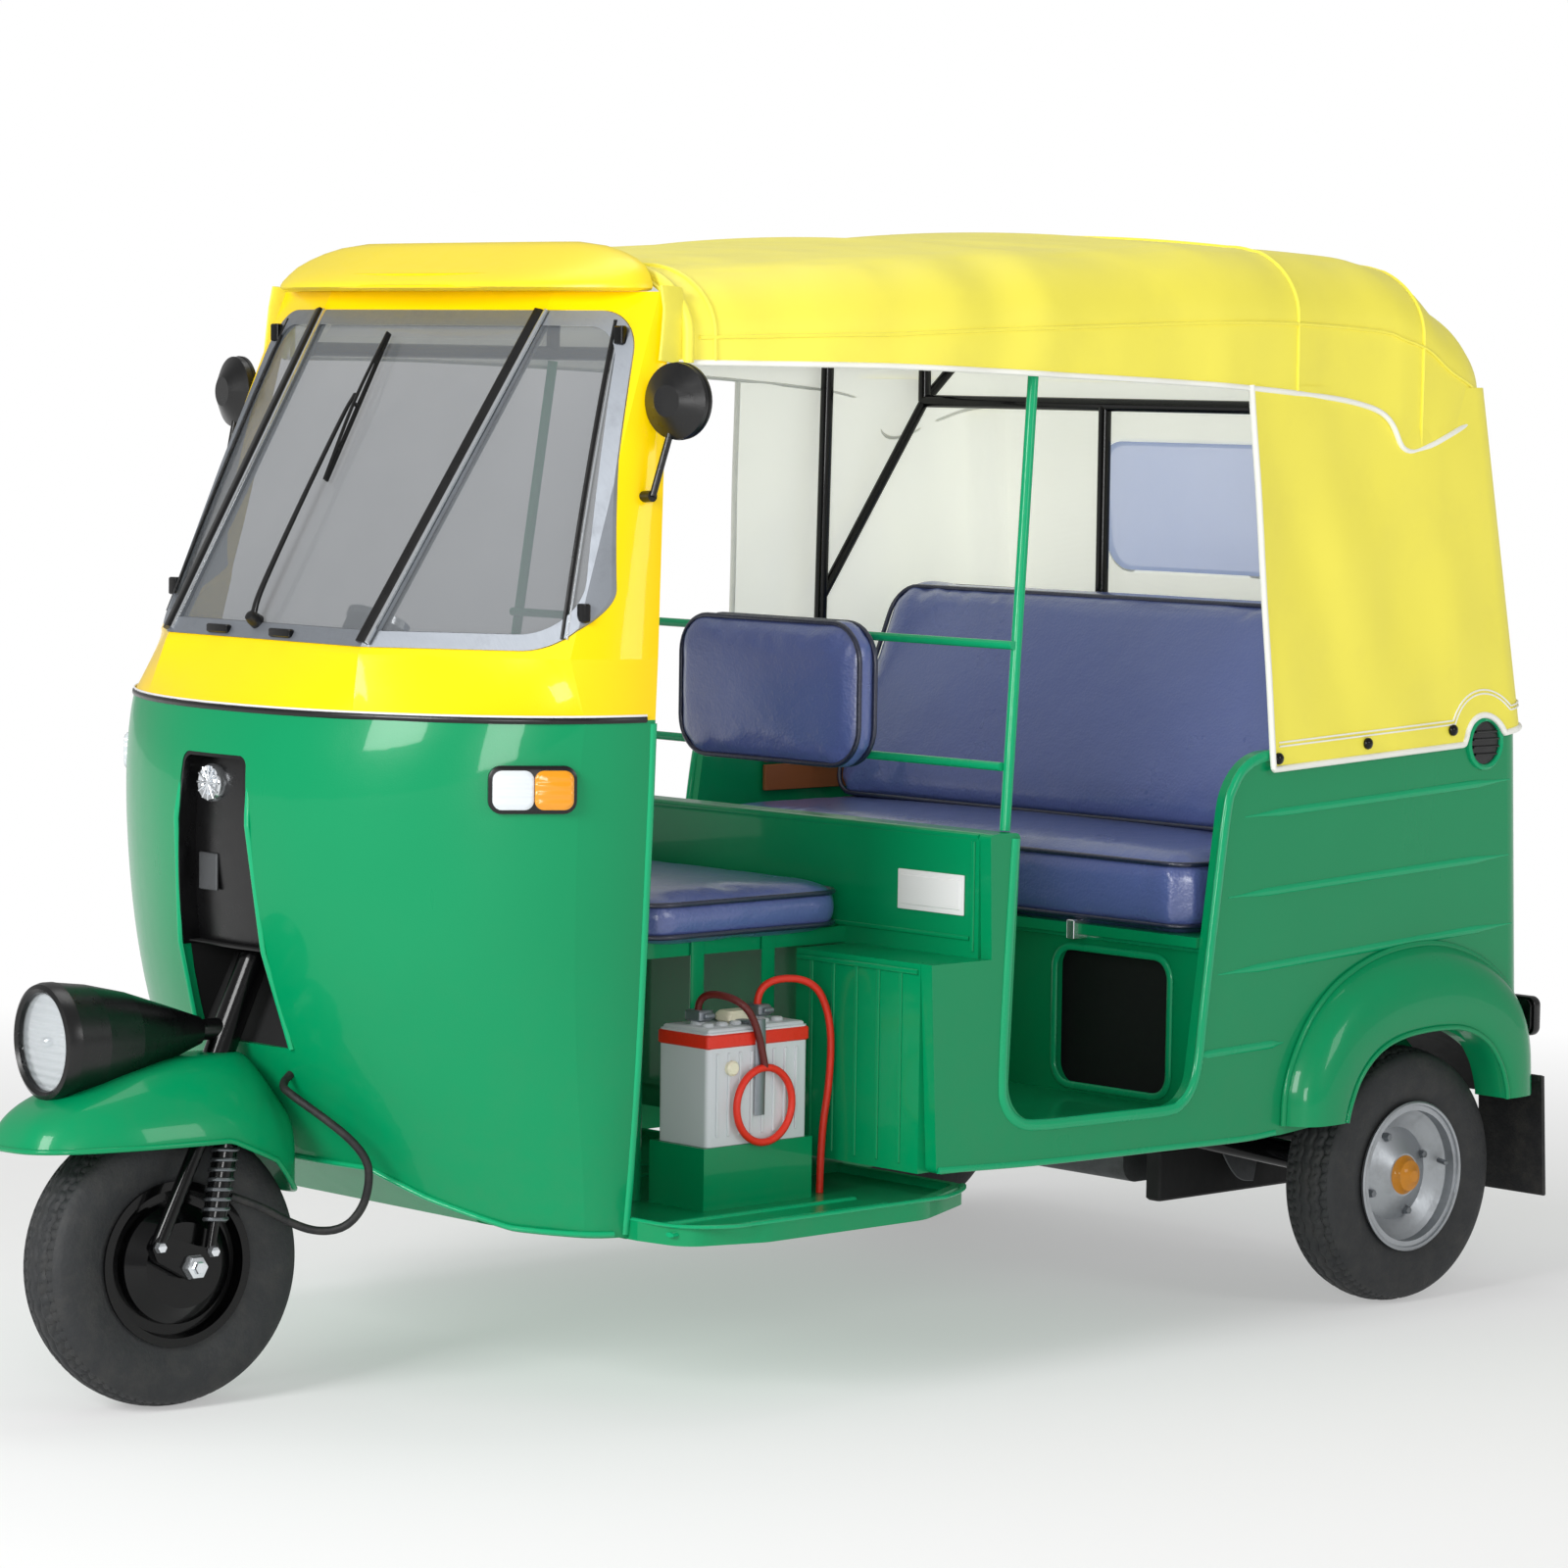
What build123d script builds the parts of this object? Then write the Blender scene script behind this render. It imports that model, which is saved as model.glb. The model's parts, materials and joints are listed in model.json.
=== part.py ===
from build123d import *

import os
from math import hypot, sqrt

"""Auto rickshaw: a three-wheeled passenger vehicle with a steered front wheel, in millimetres.

+X is the vehicle's left, -Y is forward and +Z is up. The origin is on the ground, under the middle of
the length. Pieces on the steering are built straight ahead and then turned to the parked angle.
"""

# ---- driving dimensions ------------------------------------------------------------------------------
wheelbase = 2000.0
front_axle_y = -1035.0          # the origin is under the middle of the length
flap_overhang = 280.0           # from the rear axle to the back of the mud flaps
pipe_overhang = 297.0           # from the rear axle to the end of the tail pipe
fit = 0.3                       # seat between two pieces that touch
running_gap = 5.5               # room around what moves

rear_axle_y = front_axle_y + wheelbase
body_half_width = 600.0

# wheels
tyre_radius = 203.0
tyre_half_width = 54.0
bead_radius = 110.0
rim_half_width = 49.0
rear_wheel_x = body_half_width - 54      # centre of a rear wheel
hub_radius = 34.0
axle_radius = 8.5

# steering
steering_rake = 25.0            # degrees back from upright
steering_foot = (0.0, -920.0, 516.0)      # where the axis leaves the nose
parked_steer = 7.0              # degrees turned to the vehicle's right, as it is parked
column_radius = 22.0
column_top = 596.0              # along the axis from its foot
column_bottom = -52.0
fork_x = 84.0                   # fork leg and spring, on the left of the wheel
fork_radius = 11.0
handlebar_at = 578.0            # along the axis
handlebar_half = 270.0
handlebar_sweep = 62.0          # how far the grips are swept back
bar_radius = 11.0

# body
panel = 22.0                    # thickness of a body wall
cowl_wall = 16.0
floor_bottom = 245.0
floor_sheet = 16.0
sill_top = 345.0                # passenger floor
rail_x, rail_half = 250.0, 20.0
partition_back = 62.0
partition_wall = 62.0
partition_top = 794.0
locker_front = -116.0           # foot lockers under the partition
locker_top = 612.0
deck_height = 612.0             # top of the seat box
seat_front = 495.0
rear_face = 1214.0              # at the top of the body, which leans forward
body_foot, body_top = 345.0, 903.0
rear_lean = 0.047
rear_corner = 46.0
arch_radius = 238.0
flare_radius = 366.0
flare_x = body_half_width + 52
vent_at, vent_bump, vent_piping = (1107.0, 876.0), 46.0, 53.0       # the round vent in each rear corner

# roof
canopy_wall = 8.0
canopy_front = -480.0
canopy_hem = 1440.0             # where the curtains hang from the roof
curtain_bottom = 862.0
tube_radius = 11.0
post_radius = 8.0
bow_y, rail_z = 134.0, 1480.0   # the front bow under the roof, and the tubes along its sides
post_foot = (body_half_width - 25, 54.0, partition_top + 1)
post_head = (body_half_width - 61, bow_y, rail_z - tube_radius - 2)

front = Plane.XZ                # drawn in X and Z, extruded along -Y
side = Plane.YZ                 # drawn in Y and Z, extruded along +X


# ---- helpers -----------------------------------------------------------------------------------------
def write(part, name):
    """Labels a finished piece and writes it as its own file."""
    part.label = name
    export_step(part, f"parts/{name}.step")
    return part


def block(low, high, mode=Mode.ADD):
    """Adds a box between two corners to the part being built."""
    middle = [(a + b) / 2 for a, b in zip(low, high)]
    with Locations(tuple(middle)):
        return Box(*[b - a for a, b in zip(low, high)], mode=mode)


def rod(start, end, radius, mode=Mode.ADD, top_radius=None):
    """Adds a round bar, or a cone, from one point to another to the part being built."""
    way = Vector(*end) - Vector(*start)
    seat = (Align.CENTER, Align.CENTER, Align.MIN)
    with Locations(Plane(origin=start, z_dir=way)):
        if top_radius is None:
            return Cylinder(radius, way.length, align=seat, mode=mode)
        return Cone(radius, top_radius, way.length, align=seat, mode=mode)


def outline(plane, corners):
    """A flat face on a plane, from corners given as (u, v, corner radius)."""
    with BuildSketch(plane) as face:
        with BuildLine():
            Polyline(*[(u, v) for u, v, _ in corners], close=True)
        make_face()
        for u, v, radius in corners:
            if radius:
                fillet(face.vertices().sort_by_distance((u, v, 0))[0], radius)
    return face.sketch


def bent_path(points, radii):
    """A path of straight runs joined by tangent arcs."""
    with BuildLine() as path:
        FilletPolyline(*points, radius=radii)
    return path.line


def tube(points, radii, radius):
    """A round tube along a bent path."""
    path = bent_path(points, radii)
    with BuildPart() as made:
        with BuildSketch(Plane(origin=path @ 0, z_dir=path % 0)):
            Circle(radius)
        sweep(path=path)
    return made.part


def post_y(height):
    """Y of the green posts' middle at a height."""
    share = (height - post_foot[2]) / (post_head[2] - post_foot[2])
    return post_foot[1] + (post_head[1] - post_foot[1]) * share


def rear_y(height):
    """Y of the leaning rear face at a height."""
    return rear_face + (body_top - height) * rear_lean


def parked(part):
    """Turns a piece of the steering from straight ahead to the parked angle."""
    return part.rotate(steering_axis, -parked_steer)


def axis_point(along, back=0.0, x=0.0):
    """A point given along the steering axis, square behind it and across, with the steering straight."""
    point = Vector(*steering_foot) + axis_way * along + axis_back * back
    return (x, point.Y, point.Z)


axis_way = Vector(0, 0, 1).rotate(Axis.X, -steering_rake)
axis_back = Vector(0, 1, 0).rotate(Axis.X, -steering_rake)
steering_axis = Axis(steering_foot, axis_way)
os.makedirs("parts", exist_ok=True)


# ---- cowl --------------------------------------------------------------------------------------------
# Plan sections of the nose, from the bottom up: half an ellipse with flats where the windscreen is.
# (height, half width at the door edge, Y of the door edge, depth in front of it, x of the bend, and where
# the side pane ends, as a share of the half width)
door_edge_y = -565.0
belt_height = 975.0             # where green meets yellow
screen_sill = 1060.0
header_height = 1565.0
lower_sections = (
    (245.0, 457.0, door_edge_y, 205.0, 238.0, 0.955),
    (330.0, 466.0, door_edge_y, 243.0, 238.0, 0.955),
    (500.0, 480.0, door_edge_y, 330.0, 238.0, 0.955),
    (640.0, 488.0, door_edge_y, 371.0, 238.0, 0.955),
    (820.0, 497.0, door_edge_y, 388.0, 238.0, 0.955),
    (belt_height, 503.0, door_edge_y, 366.0, 238.0, 0.955),
)
upper_sections = (
    lower_sections[-1],
    (screen_sill, 507.0, door_edge_y, 334.0, 222.0, 0.925),
    (header_height, 430.0, -484.0, 72.0, 253.0, 0.985),
)


def nose_y(section, x, inset=0.0):
    """Y of the nose at x on one section."""
    _, half, edge_y, depth, *_ = section
    return edge_y - (depth - inset) * sqrt(max(0.0, 1 - (x / (half - inset)) ** 2))


def cowl_plan(section, inset=0.0, flat=False, open_back=0.0):
    """The nose's plan outline at one section, moved in by inset, and run back by open_back."""
    height, half, edge_y, depth, bend, share = section
    half -= inset
    shoulder = share * half
    points = [(x, nose_y(section, x, inset)) for x in (bend, shoulder, half)]
    middles = [(x, nose_y(section, x, inset)) for x in (0.0, (bend + shoulder) / 2, (shoulder + half) / 2)]
    if flat:
        middles[0] = (0.0, points[0][1] - 0.5)
        middles[1] = tuple((a + b) / 2 - 0.5 for a, b in zip(points[0], points[1]))
    with BuildSketch(Plane.XY.offset(height)) as face:
        with BuildLine():
            ThreePointArc((-points[0][0], points[0][1]), middles[0], points[0])
            for sign in (1, -1):
                for k in (1, 2):
                    ends = [(sign * x, y) for x, y in (points[k - 1], middles[k], points[k])]
                    ThreePointArc(*ends)
                if open_back:
                    Line((sign * half, edge_y), (sign * half, edge_y + open_back))
            Line((-half, edge_y + open_back), (half, edge_y + open_back))
        make_face()
    return face.sketch


def lower_hull(inset=0.0, open_back=0.0):
    """The green part of the nose as a solid, moved in by inset."""
    with BuildPart() as hull:
        loft([cowl_plan(s, inset, open_back=open_back) for s in lower_sections])
    return hull.part


def upper_hull(inset=0.0, open_back=0.0):
    """The yellow part of the nose as a solid: a belt, then flat faces up to the header."""
    plans = [cowl_plan(s, inset, flat=n > 0, open_back=open_back) for n, s in enumerate(upper_sections)]
    with BuildPart() as hull:
        loft(plans, ruled=True)
    return hull.part


# the black channel in the nose: (half width, height) at its foot and its head
slot_foot, slot_head = (108.0, 501.0), (72.0, 912.0)
slot_corner = 16.0
shroud_foot = 634.0
shroud_depth = 30.0
shroud_wall = 5.0


def slot_prism(inset=0.0, foot=slot_foot[1]):
    """The channel's outline from the front, above a foot height, as a bar through the nose."""
    share = (foot - slot_foot[1]) / (slot_head[1] - slot_foot[1])
    low_half = slot_foot[0] + (slot_head[0] - slot_foot[0]) * share - inset
    high_half = slot_head[0] - inset
    corners = ((-low_half, foot, 0), (low_half, foot, 0), (high_half, slot_head[1] - inset, slot_corner),
               (-high_half, slot_head[1] - inset, slot_corner))
    with BuildPart() as bar:
        extrude(outline(front.offset(700), corners), amount=400)
    return bar.part


# underside of the nose, seen from the front: (x, z, corner radius)
nose_hem = ((-470, 200, 0), (470, 200, 0), (470, 247, 0), (360, 256, 60), (250, 290, 60), (165, 326, 40),
            (-165, 326, 40), (-250, 290, 60), (-360, 256, 60), (-470, 247, 0))

with BuildPart() as front_cowl:
    add(lower_hull())
    add(lower_hull(cowl_wall, open_back=40.0), mode=Mode.SUBTRACT)
    block((-600, door_edge_y, 0), (600, door_edge_y + 60, 1200), mode=Mode.SUBTRACT)
    extrude(outline(front.offset(-door_edge_y + 2), nose_hem), amount=400, mode=Mode.SUBTRACT)
    add(slot_prism(), mode=Mode.SUBTRACT)
write(front_cowl.part, "front_cowl")

with BuildPart() as channel:
    add(slot_prism(shroud_wall, shroud_foot - 20))
    add(lower_hull(shroud_depth, 60.0), mode=Mode.SUBTRACT)

# the collar that carries the column, behind the channel: from and to along the axis
collar_low, collar_high, collar_radius, collar_web = 138.0, 210.0, 30.0, 18.0

with BuildPart() as column_shroud:
    add(slot_prism(fit, shroud_foot))
    add(lower_hull(1.0, 40.0), mode=Mode.INTERSECT)
    add(lower_hull(shroud_depth + shroud_wall, 60.0), mode=Mode.SUBTRACT)
    add(channel.part, mode=Mode.SUBTRACT)
    rod(axis_point(collar_low), axis_point(collar_high), collar_radius)
    block((-collar_web, -903, shroud_foot + 16), (collar_web, -860, shroud_foot + 56))
    rod(axis_point(collar_low - 20), axis_point(collar_high + 20), column_radius + fit, mode=Mode.SUBTRACT)
write(column_shroud.part, "column_shroud")

# windscreen opening from the front: (half width, height) at its foot and its head
screen_foot, screen_head = (496.0, 1070.0), (404.0, 1538.0)
screen_corner = 72.0
screen_frame_width = 22.0


def screen_prism(inset=0.0, corner=screen_corner):
    """The windscreen's outline from the front, moved in by inset, as a bar through the nose."""
    (low, foot), (high, head) = screen_foot, screen_head
    corners = ((-low + inset, foot + inset, corner), (low - inset, foot + inset, corner),
               (high - inset, head - inset, corner), (-high + inset, head - inset, corner))
    with BuildPart() as bar:
        extrude(outline(front.offset(400), corners), amount=700)
    return bar.part


def screen_bars(half_width):
    """Two slanting bars along the bends of the windscreen, from the front."""
    low_x, high_x = upper_sections[1][4], upper_sections[2][4]
    low_z, high_z = screen_foot[1], screen_head[1]
    with BuildPart() as bars:
        for sign in (1, -1):
            corners = ((sign * low_x - half_width, low_z, 0), (sign * low_x + half_width, low_z, 0),
                       (sign * high_x + half_width, high_z, 0), (sign * high_x - half_width, high_z, 0))
            extrude(outline(front.offset(400), corners), amount=700)
    return bars.part


with BuildPart() as cowl_upper:
    add(upper_hull())
    add(upper_hull(cowl_wall, open_back=40.0), mode=Mode.SUBTRACT)
    block((-600, door_edge_y, belt_height - 5), (600, -300, screen_sill), mode=Mode.SUBTRACT)
    add(screen_prism(), mode=Mode.SUBTRACT)
write(cowl_upper.part, "cowl_upper")

bar_half_width = 10.0
with BuildPart() as screen_dividers:
    add(screen_bars(bar_half_width))
    add(screen_prism(fit), mode=Mode.INTERSECT)

with BuildPart() as screen_ring:
    add(screen_prism(fit))
    add(screen_prism(screen_frame_width, screen_corner - 12), mode=Mode.SUBTRACT)
    add(screen_dividers.part)

with BuildPart() as windscreen_frame:
    add(upper_hull(-3.0))
    add(upper_hull(cowl_wall - 3.0, open_back=80.0), mode=Mode.SUBTRACT)
    add(screen_ring.part, mode=Mode.INTERSECT)
write(windscreen_frame.part, "windscreen_frame")

with BuildPart() as windscreen_glass:
    add(upper_hull(4.0))
    add(upper_hull(9.0, open_back=80.0), mode=Mode.SUBTRACT)
    add(screen_prism(screen_frame_width + fit, screen_corner - 12), mode=Mode.INTERSECT)
    add(screen_bars(bar_half_width + fit), mode=Mode.SUBTRACT)
write(windscreen_glass.part, "windscreen_glass")

# wiper on the right pane's edge: pivot on the sill, arm and blade (x, height, stand off the glass)
wiper_pivot, arm_tip = (-28.0, 1091.0), (-54.0, 1408.0)
blade_foot, blade_tip = (-30.0, 1288.0), (-57.0, 1499.0)
blade_off, seat_off = 16.0, 3.7


def screen_front(x, height, off):
    """A point standing square off the windscreen's middle pane."""
    low, high = upper_sections[1], upper_sections[2]
    share = (height - low[0]) / (high[0] - low[0])
    at = tuple(a + (b - a) * share for a, b in zip(low, high))
    run, rise = nose_y(high, high[4]) - nose_y(low, low[4]), high[0] - low[0]
    slope = hypot(run, rise)
    return (x, nose_y(at, at[4]) - off * rise / slope, height + off * run / slope)


with BuildPart() as wiper:
    rod(screen_front(*wiper_pivot, seat_off), screen_front(*wiper_pivot, blade_off + 10), 8.0)
    rod(screen_front(*wiper_pivot, blade_off), screen_front(*arm_tip, blade_off), 4.5)
    rod(screen_front(*blade_foot, blade_off), screen_front(*blade_tip, blade_off), 6.0)
write(wiper.part, "wiper")

# ---- roof --------------------------------------------------------------------------------------------
# (height, half width, Y of the side's front end, depth in front of it)
visor_sections = (
    (header_height + fit, 388.0, canopy_front - 10, 92.0),
    (header_height + 6, 401.0, canopy_front - 10, 118.0),
    (header_height + 16, 400.0, canopy_front - 10, 112.0),
    (header_height + 36, 385.0, canopy_front - 8, 78.0),
    (header_height + 55, 335.0, canopy_front - 6, 46.0),
    (header_height + 71, 240.0, canopy_front - 4, 18.0),
)


def visor_plan(height, half, edge_y, depth):
    """The visor's plan outline at one height."""
    with BuildSketch(Plane.XY.offset(height)) as face:
        with BuildLine():
            near = edge_y - depth * sqrt(1 - 0.86 ** 2)
            ThreePointArc((-0.86 * half, near), (0, edge_y - depth), (0.86 * half, near))
            for sign in (1, -1):
                mid = (sign * 0.965 * half, edge_y - depth * 0.262)
                ThreePointArc((sign * 0.86 * half, near), mid, (sign * half, edge_y))
                Line((sign * half, edge_y), (sign * half, canopy_front - fit))
            Line((-half, canopy_front - fit), (half, canopy_front - fit))
        make_face()
    return face.sketch


with BuildPart() as roof_visor:
    loft([visor_plan(*section) for section in visor_sections], ruled=True)
write(roof_visor.part, "roof_visor")

# Cross sections of the roof, front to back: (y, top, half width, height of the side's hem)
roof_sections = (
    (canopy_front, 1618.0, 446.0, 1467.0),
    (-140.0, 1648.0, 540.0, 1464.0),
    (200.0, 1668.0, 562.0, 1456.0),
    (590.0, 1684.0, 574.0, canopy_hem),
    (850.0, 1676.0, 575.0, canopy_hem),
    (975.0, 1652.0, 573.0, canopy_hem),
)
roof_tail = (
    roof_sections[-1],
    (1035.0, 1610.0, 571.0, canopy_hem),
    (1095.0, 1584.0, 566.0, canopy_hem),
    (1135.0, 1554.0, 545.0, canopy_hem),
    (1153.0, 1500.0, 512.0, canopy_hem),
    (1157.0, 1452.0, 508.0, canopy_hem),
)
shoulder_width = 150.0
shoulder_drop = 112.0
crown = 20.0


def roof_plan(y, top, half, hem, inset=0.0):
    """The roof's cross section at y, moved in by inset and, where it is, run down past the hem."""
    half -= inset
    top -= inset
    hem -= inset * 5
    rise = min(crown, (top - hem) * 0.25)
    drop = min(shoulder_drop, (top - hem) * 0.62)
    edge = top - rise
    turn = (half - shoulder_width * 0.27, edge - drop * 0.24)
    with BuildSketch(front.offset(-y)) as face:
        with BuildLine():
            ThreePointArc((-half + shoulder_width, edge), (0, top), (half - shoulder_width, edge))
            for sign in (1, -1):
                ThreePointArc((sign * (half - shoulder_width), edge), (sign * turn[0], turn[1]),
                              (sign * half, edge - drop))
                Line((sign * half, edge - drop), (sign * half, hem))
            Line((-half, hem), (half, hem))
        make_face()
    return face.sketch


def roof_hull(inset=0.0):
    """The roof as a solid, moved in by inset."""
    with BuildPart() as hull:
        loft([roof_plan(*section, inset) for section in roof_sections])
        tail = [roof_plan(y - (inset if n else 0), *rest, inset) for n, (y, *rest) in enumerate(roof_tail)]
        loft(tail, ruled=True)
    return hull.part


with BuildPart() as canopy_roof:
    add(roof_hull())
    add(roof_hull(canopy_wall), mode=Mode.SUBTRACT)
    block((-700, -600, 1300), (700, 1300, canopy_hem), mode=Mode.SUBTRACT)
write(canopy_roof.part, "canopy_roof")

# Plan of the curtains at their hem and at their top: (height, half width, y of the front edge, y of the back)
curtain_sections = (
    (curtain_bottom, body_half_width + 12, 598.0, 1231.0),
    (canopy_hem - fit, body_half_width - 26, 571.0, 1157.0),
)
curtain_corner = 58.0
# its lower edge from the side, front to back: (y, z)
curtain_hem = ((560, 780), (560, curtain_bottom - 2), (1052, curtain_bottom + 22), (1260, curtain_bottom + 50),
               (1260, 780))
window_low, window_high, window_half, window_corner = 1125.0, 1345.0, 300.0, 50.0


def curtain_plan(height, half, near, far, inset=0.0):
    """The curtains' plan outline at one height, moved in by inset and open at the front."""
    corner = curtain_corner - inset
    half, far, near = half - inset, far - inset, near - inset * 12
    with BuildSketch(Plane.XY.offset(height)) as face:
        with BuildLine():
            Polyline((-half, far - corner), (-half, near), (half, near), (half, far - corner))
            for sign in (1, -1):
                bend = corner * (1 - sqrt(0.5))
                ThreePointArc((sign * half, far - corner), (sign * (half - bend), far - bend),
                              (sign * (half - corner), far))
            Line((half - corner, far), (-half + corner, far))
        make_face()
    return face.sketch


def curtain_hull(inset=0.0):
    """The curtained box as a solid, moved in by inset and run past both ends where it is."""
    (low, *low_plan), (high, *high_plan) = curtain_sections
    with BuildPart() as hull:
        loft([curtain_plan(low, *low_plan, inset), curtain_plan(high, *high_plan, inset)], ruled=True)
    return hull.part


def window_face(inset=0.0):
    """The rear window's outline, moved in by inset."""
    half, low, high = window_half - inset, window_low + inset, window_high - inset
    return outline(front.offset(-1400), ((-half, low, window_corner), (half, low, window_corner),
                                         (half, high, window_corner), (-half, high, window_corner)))


with BuildPart() as canopy_curtains:
    add(curtain_hull())
    add(curtain_hull(canopy_wall), mode=Mode.SUBTRACT)
    extrude(window_face(), amount=400, mode=Mode.SUBTRACT)
    hem_cut = outline(side.offset(-700), tuple((y, z, 0) for y, z in curtain_hem))
    extrude(hem_cut, amount=1400, mode=Mode.SUBTRACT)
    rod((-700, *vent_at), (-rear_wheel_x, *vent_at), vent_piping, mode=Mode.SUBTRACT)
    rod((rear_wheel_x, *vent_at), (700, *vent_at), vent_piping, mode=Mode.SUBTRACT)
write(canopy_curtains.part, "canopy_curtains")

pane = 3.0
with BuildPart() as rear_window:
    extrude(window_face(fit), amount=400)
    add(curtain_hull(2.0), mode=Mode.INTERSECT)
    add(curtain_hull(2.0 + pane), mode=Mode.SUBTRACT)
write(rear_window.part, "rear_window")

# ---- tubes under the roof ----------------------------------------------------------------------------
bows = ((bow_y, post_head[0], 1622.0), (500.0, 546.0, 1640.0), (985.0, 548.0, 1597.0))  # (y, half width, top)
hoop_y, brace_y = 985.0, 755.0
cross_bar_z, brace_foot_z, stay_x = 1408.0, 1075.0, -120.0
bow_shoulder, bow_drop = 140.0, 70.0
brace_radius = tube_radius * 0.8
frame_front = (432.0, canopy_front + 40, rail_z)

with BuildPart() as canopy_frame:
    for y, half, top in bows:
        points = [(-half, y, rail_z), (-half, y, top - bow_drop), (-half + bow_shoulder, y, top),
                  (half - bow_shoulder, y, top), (half, y, top - bow_drop), (half, y, rail_z)]
        add(tube(points, [60, 110, 110, 60], tube_radius))
    for sign in (1, -1):
        ends = [(sign * x, y, rail_z) for x, y in (frame_front[:2], *((half, y) for y, half, _ in bows))]
        for start, end in zip(ends, ends[1:]):
            rod(start, end, tube_radius)
        corner = (sign * bows[2][1], hoop_y, cross_bar_z)
        rod((sign * 564, brace_y, partition_top), (sign * 549, brace_y, rail_z), tube_radius)
        rod(corner, (corner[0], hoop_y, rail_z), tube_radius)
        rod((sign * 556, brace_y, brace_foot_z), corner, brace_radius)
        rod(corner, (corner[0] - sign * 12, hoop_y + 70, rail_z), brace_radius)
    rod((-corner[0], hoop_y, cross_bar_z), corner, tube_radius)
    rod((stay_x, hoop_y, deck_height), (stay_x, hoop_y, cross_bar_z), tube_radius)
write(canopy_frame.part, "canopy_frame")

# ---- floor and frame rails ---------------------------------------------------------------------------
# Plan of the driver's floor and its step boards, from the nose back: (x, y, corner radius)
floor_plan = ((250, -640, 40), (400, -600, 30), (430, door_edge_y + fit, 0), (478, door_edge_y + fit, 0),
              (body_half_width - 40, -550, 50), (body_half_width, -430, 60), (body_half_width, -120, 80),
              (530, 30, 30))
lip_height, lip_width = 12.0, 12.0
deck_foot = 308.0               # underside of the passenger floor
toe_half = 225.0
battery_low, battery_high = (314.0, -383.0, 351.0), (420.0, -187.0, 515.0)


def floor_face(inset=0.0):
    """The driver's floor in plan, both sides."""
    left = [(x - inset, y + (inset if y < -500 else -inset), r) for x, y, r in floor_plan]
    right = [(-x, y, r) for x, y, r in reversed(left)]
    return outline(Plane.XY.offset(floor_bottom), tuple(left + right))


with BuildPart() as floor_pan:
    extrude(floor_face(), amount=floor_sheet + lip_height)
    extrude(floor_face(lip_width).translate((0, 0, floor_sheet)), amount=lip_height, mode=Mode.SUBTRACT)
    toe = ((-640, floor_bottom, 0), (-640, floor_bottom + floor_sheet, 0), (-754, 345, 0), (-754, 331, 0))
    extrude(outline(side.offset(-toe_half), toe), amount=2 * toe_half)
    floor_top = floor_bottom + floor_sheet
    for sign in (1, -1):
        inner, outer = sorted((sign * (rail_x - rail_half), sign * (rail_x + rail_half)))
        block((inner, -100, floor_top), (outer, 1150, deck_foot))
    block((-body_half_width + panel + fit, 40, deck_foot), (body_half_width - panel - fit, seat_front, sill_top))
    block((battery_low[0] - 8, battery_low[1] - 8, floor_top), (battery_high[0] + 3, battery_high[1] + 8,
                                                                battery_low[2]))
write(floor_pan.part, "floor_pan")

# ---- bulkhead, lockers and driver's seat frame -------------------------------------------------------
inside = body_half_width - panel - fit
locker_inner_x = 318.0
driver_seat_low, driver_seat_high = (-340.0, -435.0, locker_top + 24), (340.0, -12.0, locker_top + 90)
seat_frame_half, seat_leg_y, seat_leg_radius = 300.0, -402.0, 14.0

with BuildPart() as bulkhead:
    partition = ((partition_back - partition_wall, locker_top - 20, 0), (partition_back, locker_top - 20, 0),
                 (partition_back, partition_top, 12), (partition_back - partition_wall, partition_top, 12))
    extrude(outline(side.offset(-inside), partition), amount=2 * inside)
    block((-inside, 24, sill_top), (inside, partition_back - 22, locker_top))
    for sign in (1, -1):
        low_x, high_x = sorted((sign * locker_inner_x, sign * inside))
        block((low_x, locker_front, deck_foot + fit), (high_x, 24, locker_top))
        leg_x = sign * (seat_frame_half - 20)
        rod((leg_x, seat_leg_y, floor_top + fit), (leg_x, seat_leg_y, locker_top), seat_leg_radius)
    block((-seat_frame_half, -420, locker_top), (seat_frame_half, 0, driver_seat_low[2] - fit))
write(bulkhead.part, "bulkhead")

cross_rails, cross_rail_radius, rail_set = (1064.0, 888.0), 6.5, 10.0
with BuildPart() as grab_rails:
    for sign in (1, -1):
        rod((sign * post_foot[0], *post_foot[1:]), (sign * post_head[0], *post_head[1:]), post_radius)
    for height in cross_rails:
        rail_end = (post_foot[0] - 10, post_y(height) - rail_set, height)
        rod((-rail_end[0], *rail_end[1:]), rail_end, cross_rail_radius)
write(grab_rails.part, "grab_rails")

with BuildPart() as driver_seat:
    block(driver_seat_low, driver_seat_high)
    fillet(driver_seat.edges(), 24)
write(driver_seat.part, "driver_seat")

backrest_x, backrest_half, backrest_low, backrest_high = 116.0, 204.0, 864.0, 1091.0
backrest_back = post_y(cross_rails[1]) - rail_set - cross_rail_radius - fit
backrest_front = backrest_back - 50
with BuildPart() as driver_backrest:
    block((backrest_x - backrest_half, backrest_front, backrest_low),
          (backrest_x + backrest_half, backrest_back, backrest_high))
    fillet(driver_backrest.edges(), 22)
write(driver_backrest.part, "driver_backrest")

# ---- battery -----------------------------------------------------------------------------------------
battery_corner = 8.0
with BuildPart() as battery:
    block((battery_low[0], battery_low[1], battery_low[2] + fit), battery_high)
    fillet(battery.edges().filter_by(Axis.Z), battery_corner)
    for y in (battery_low[1] + 40, battery_high[1] - 40):
        rod((battery_low[0] + 40, y, battery_high[2]), (battery_low[0] + 40, y, battery_high[2] + 24), 11.0)
write(battery.part, "battery")

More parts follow.
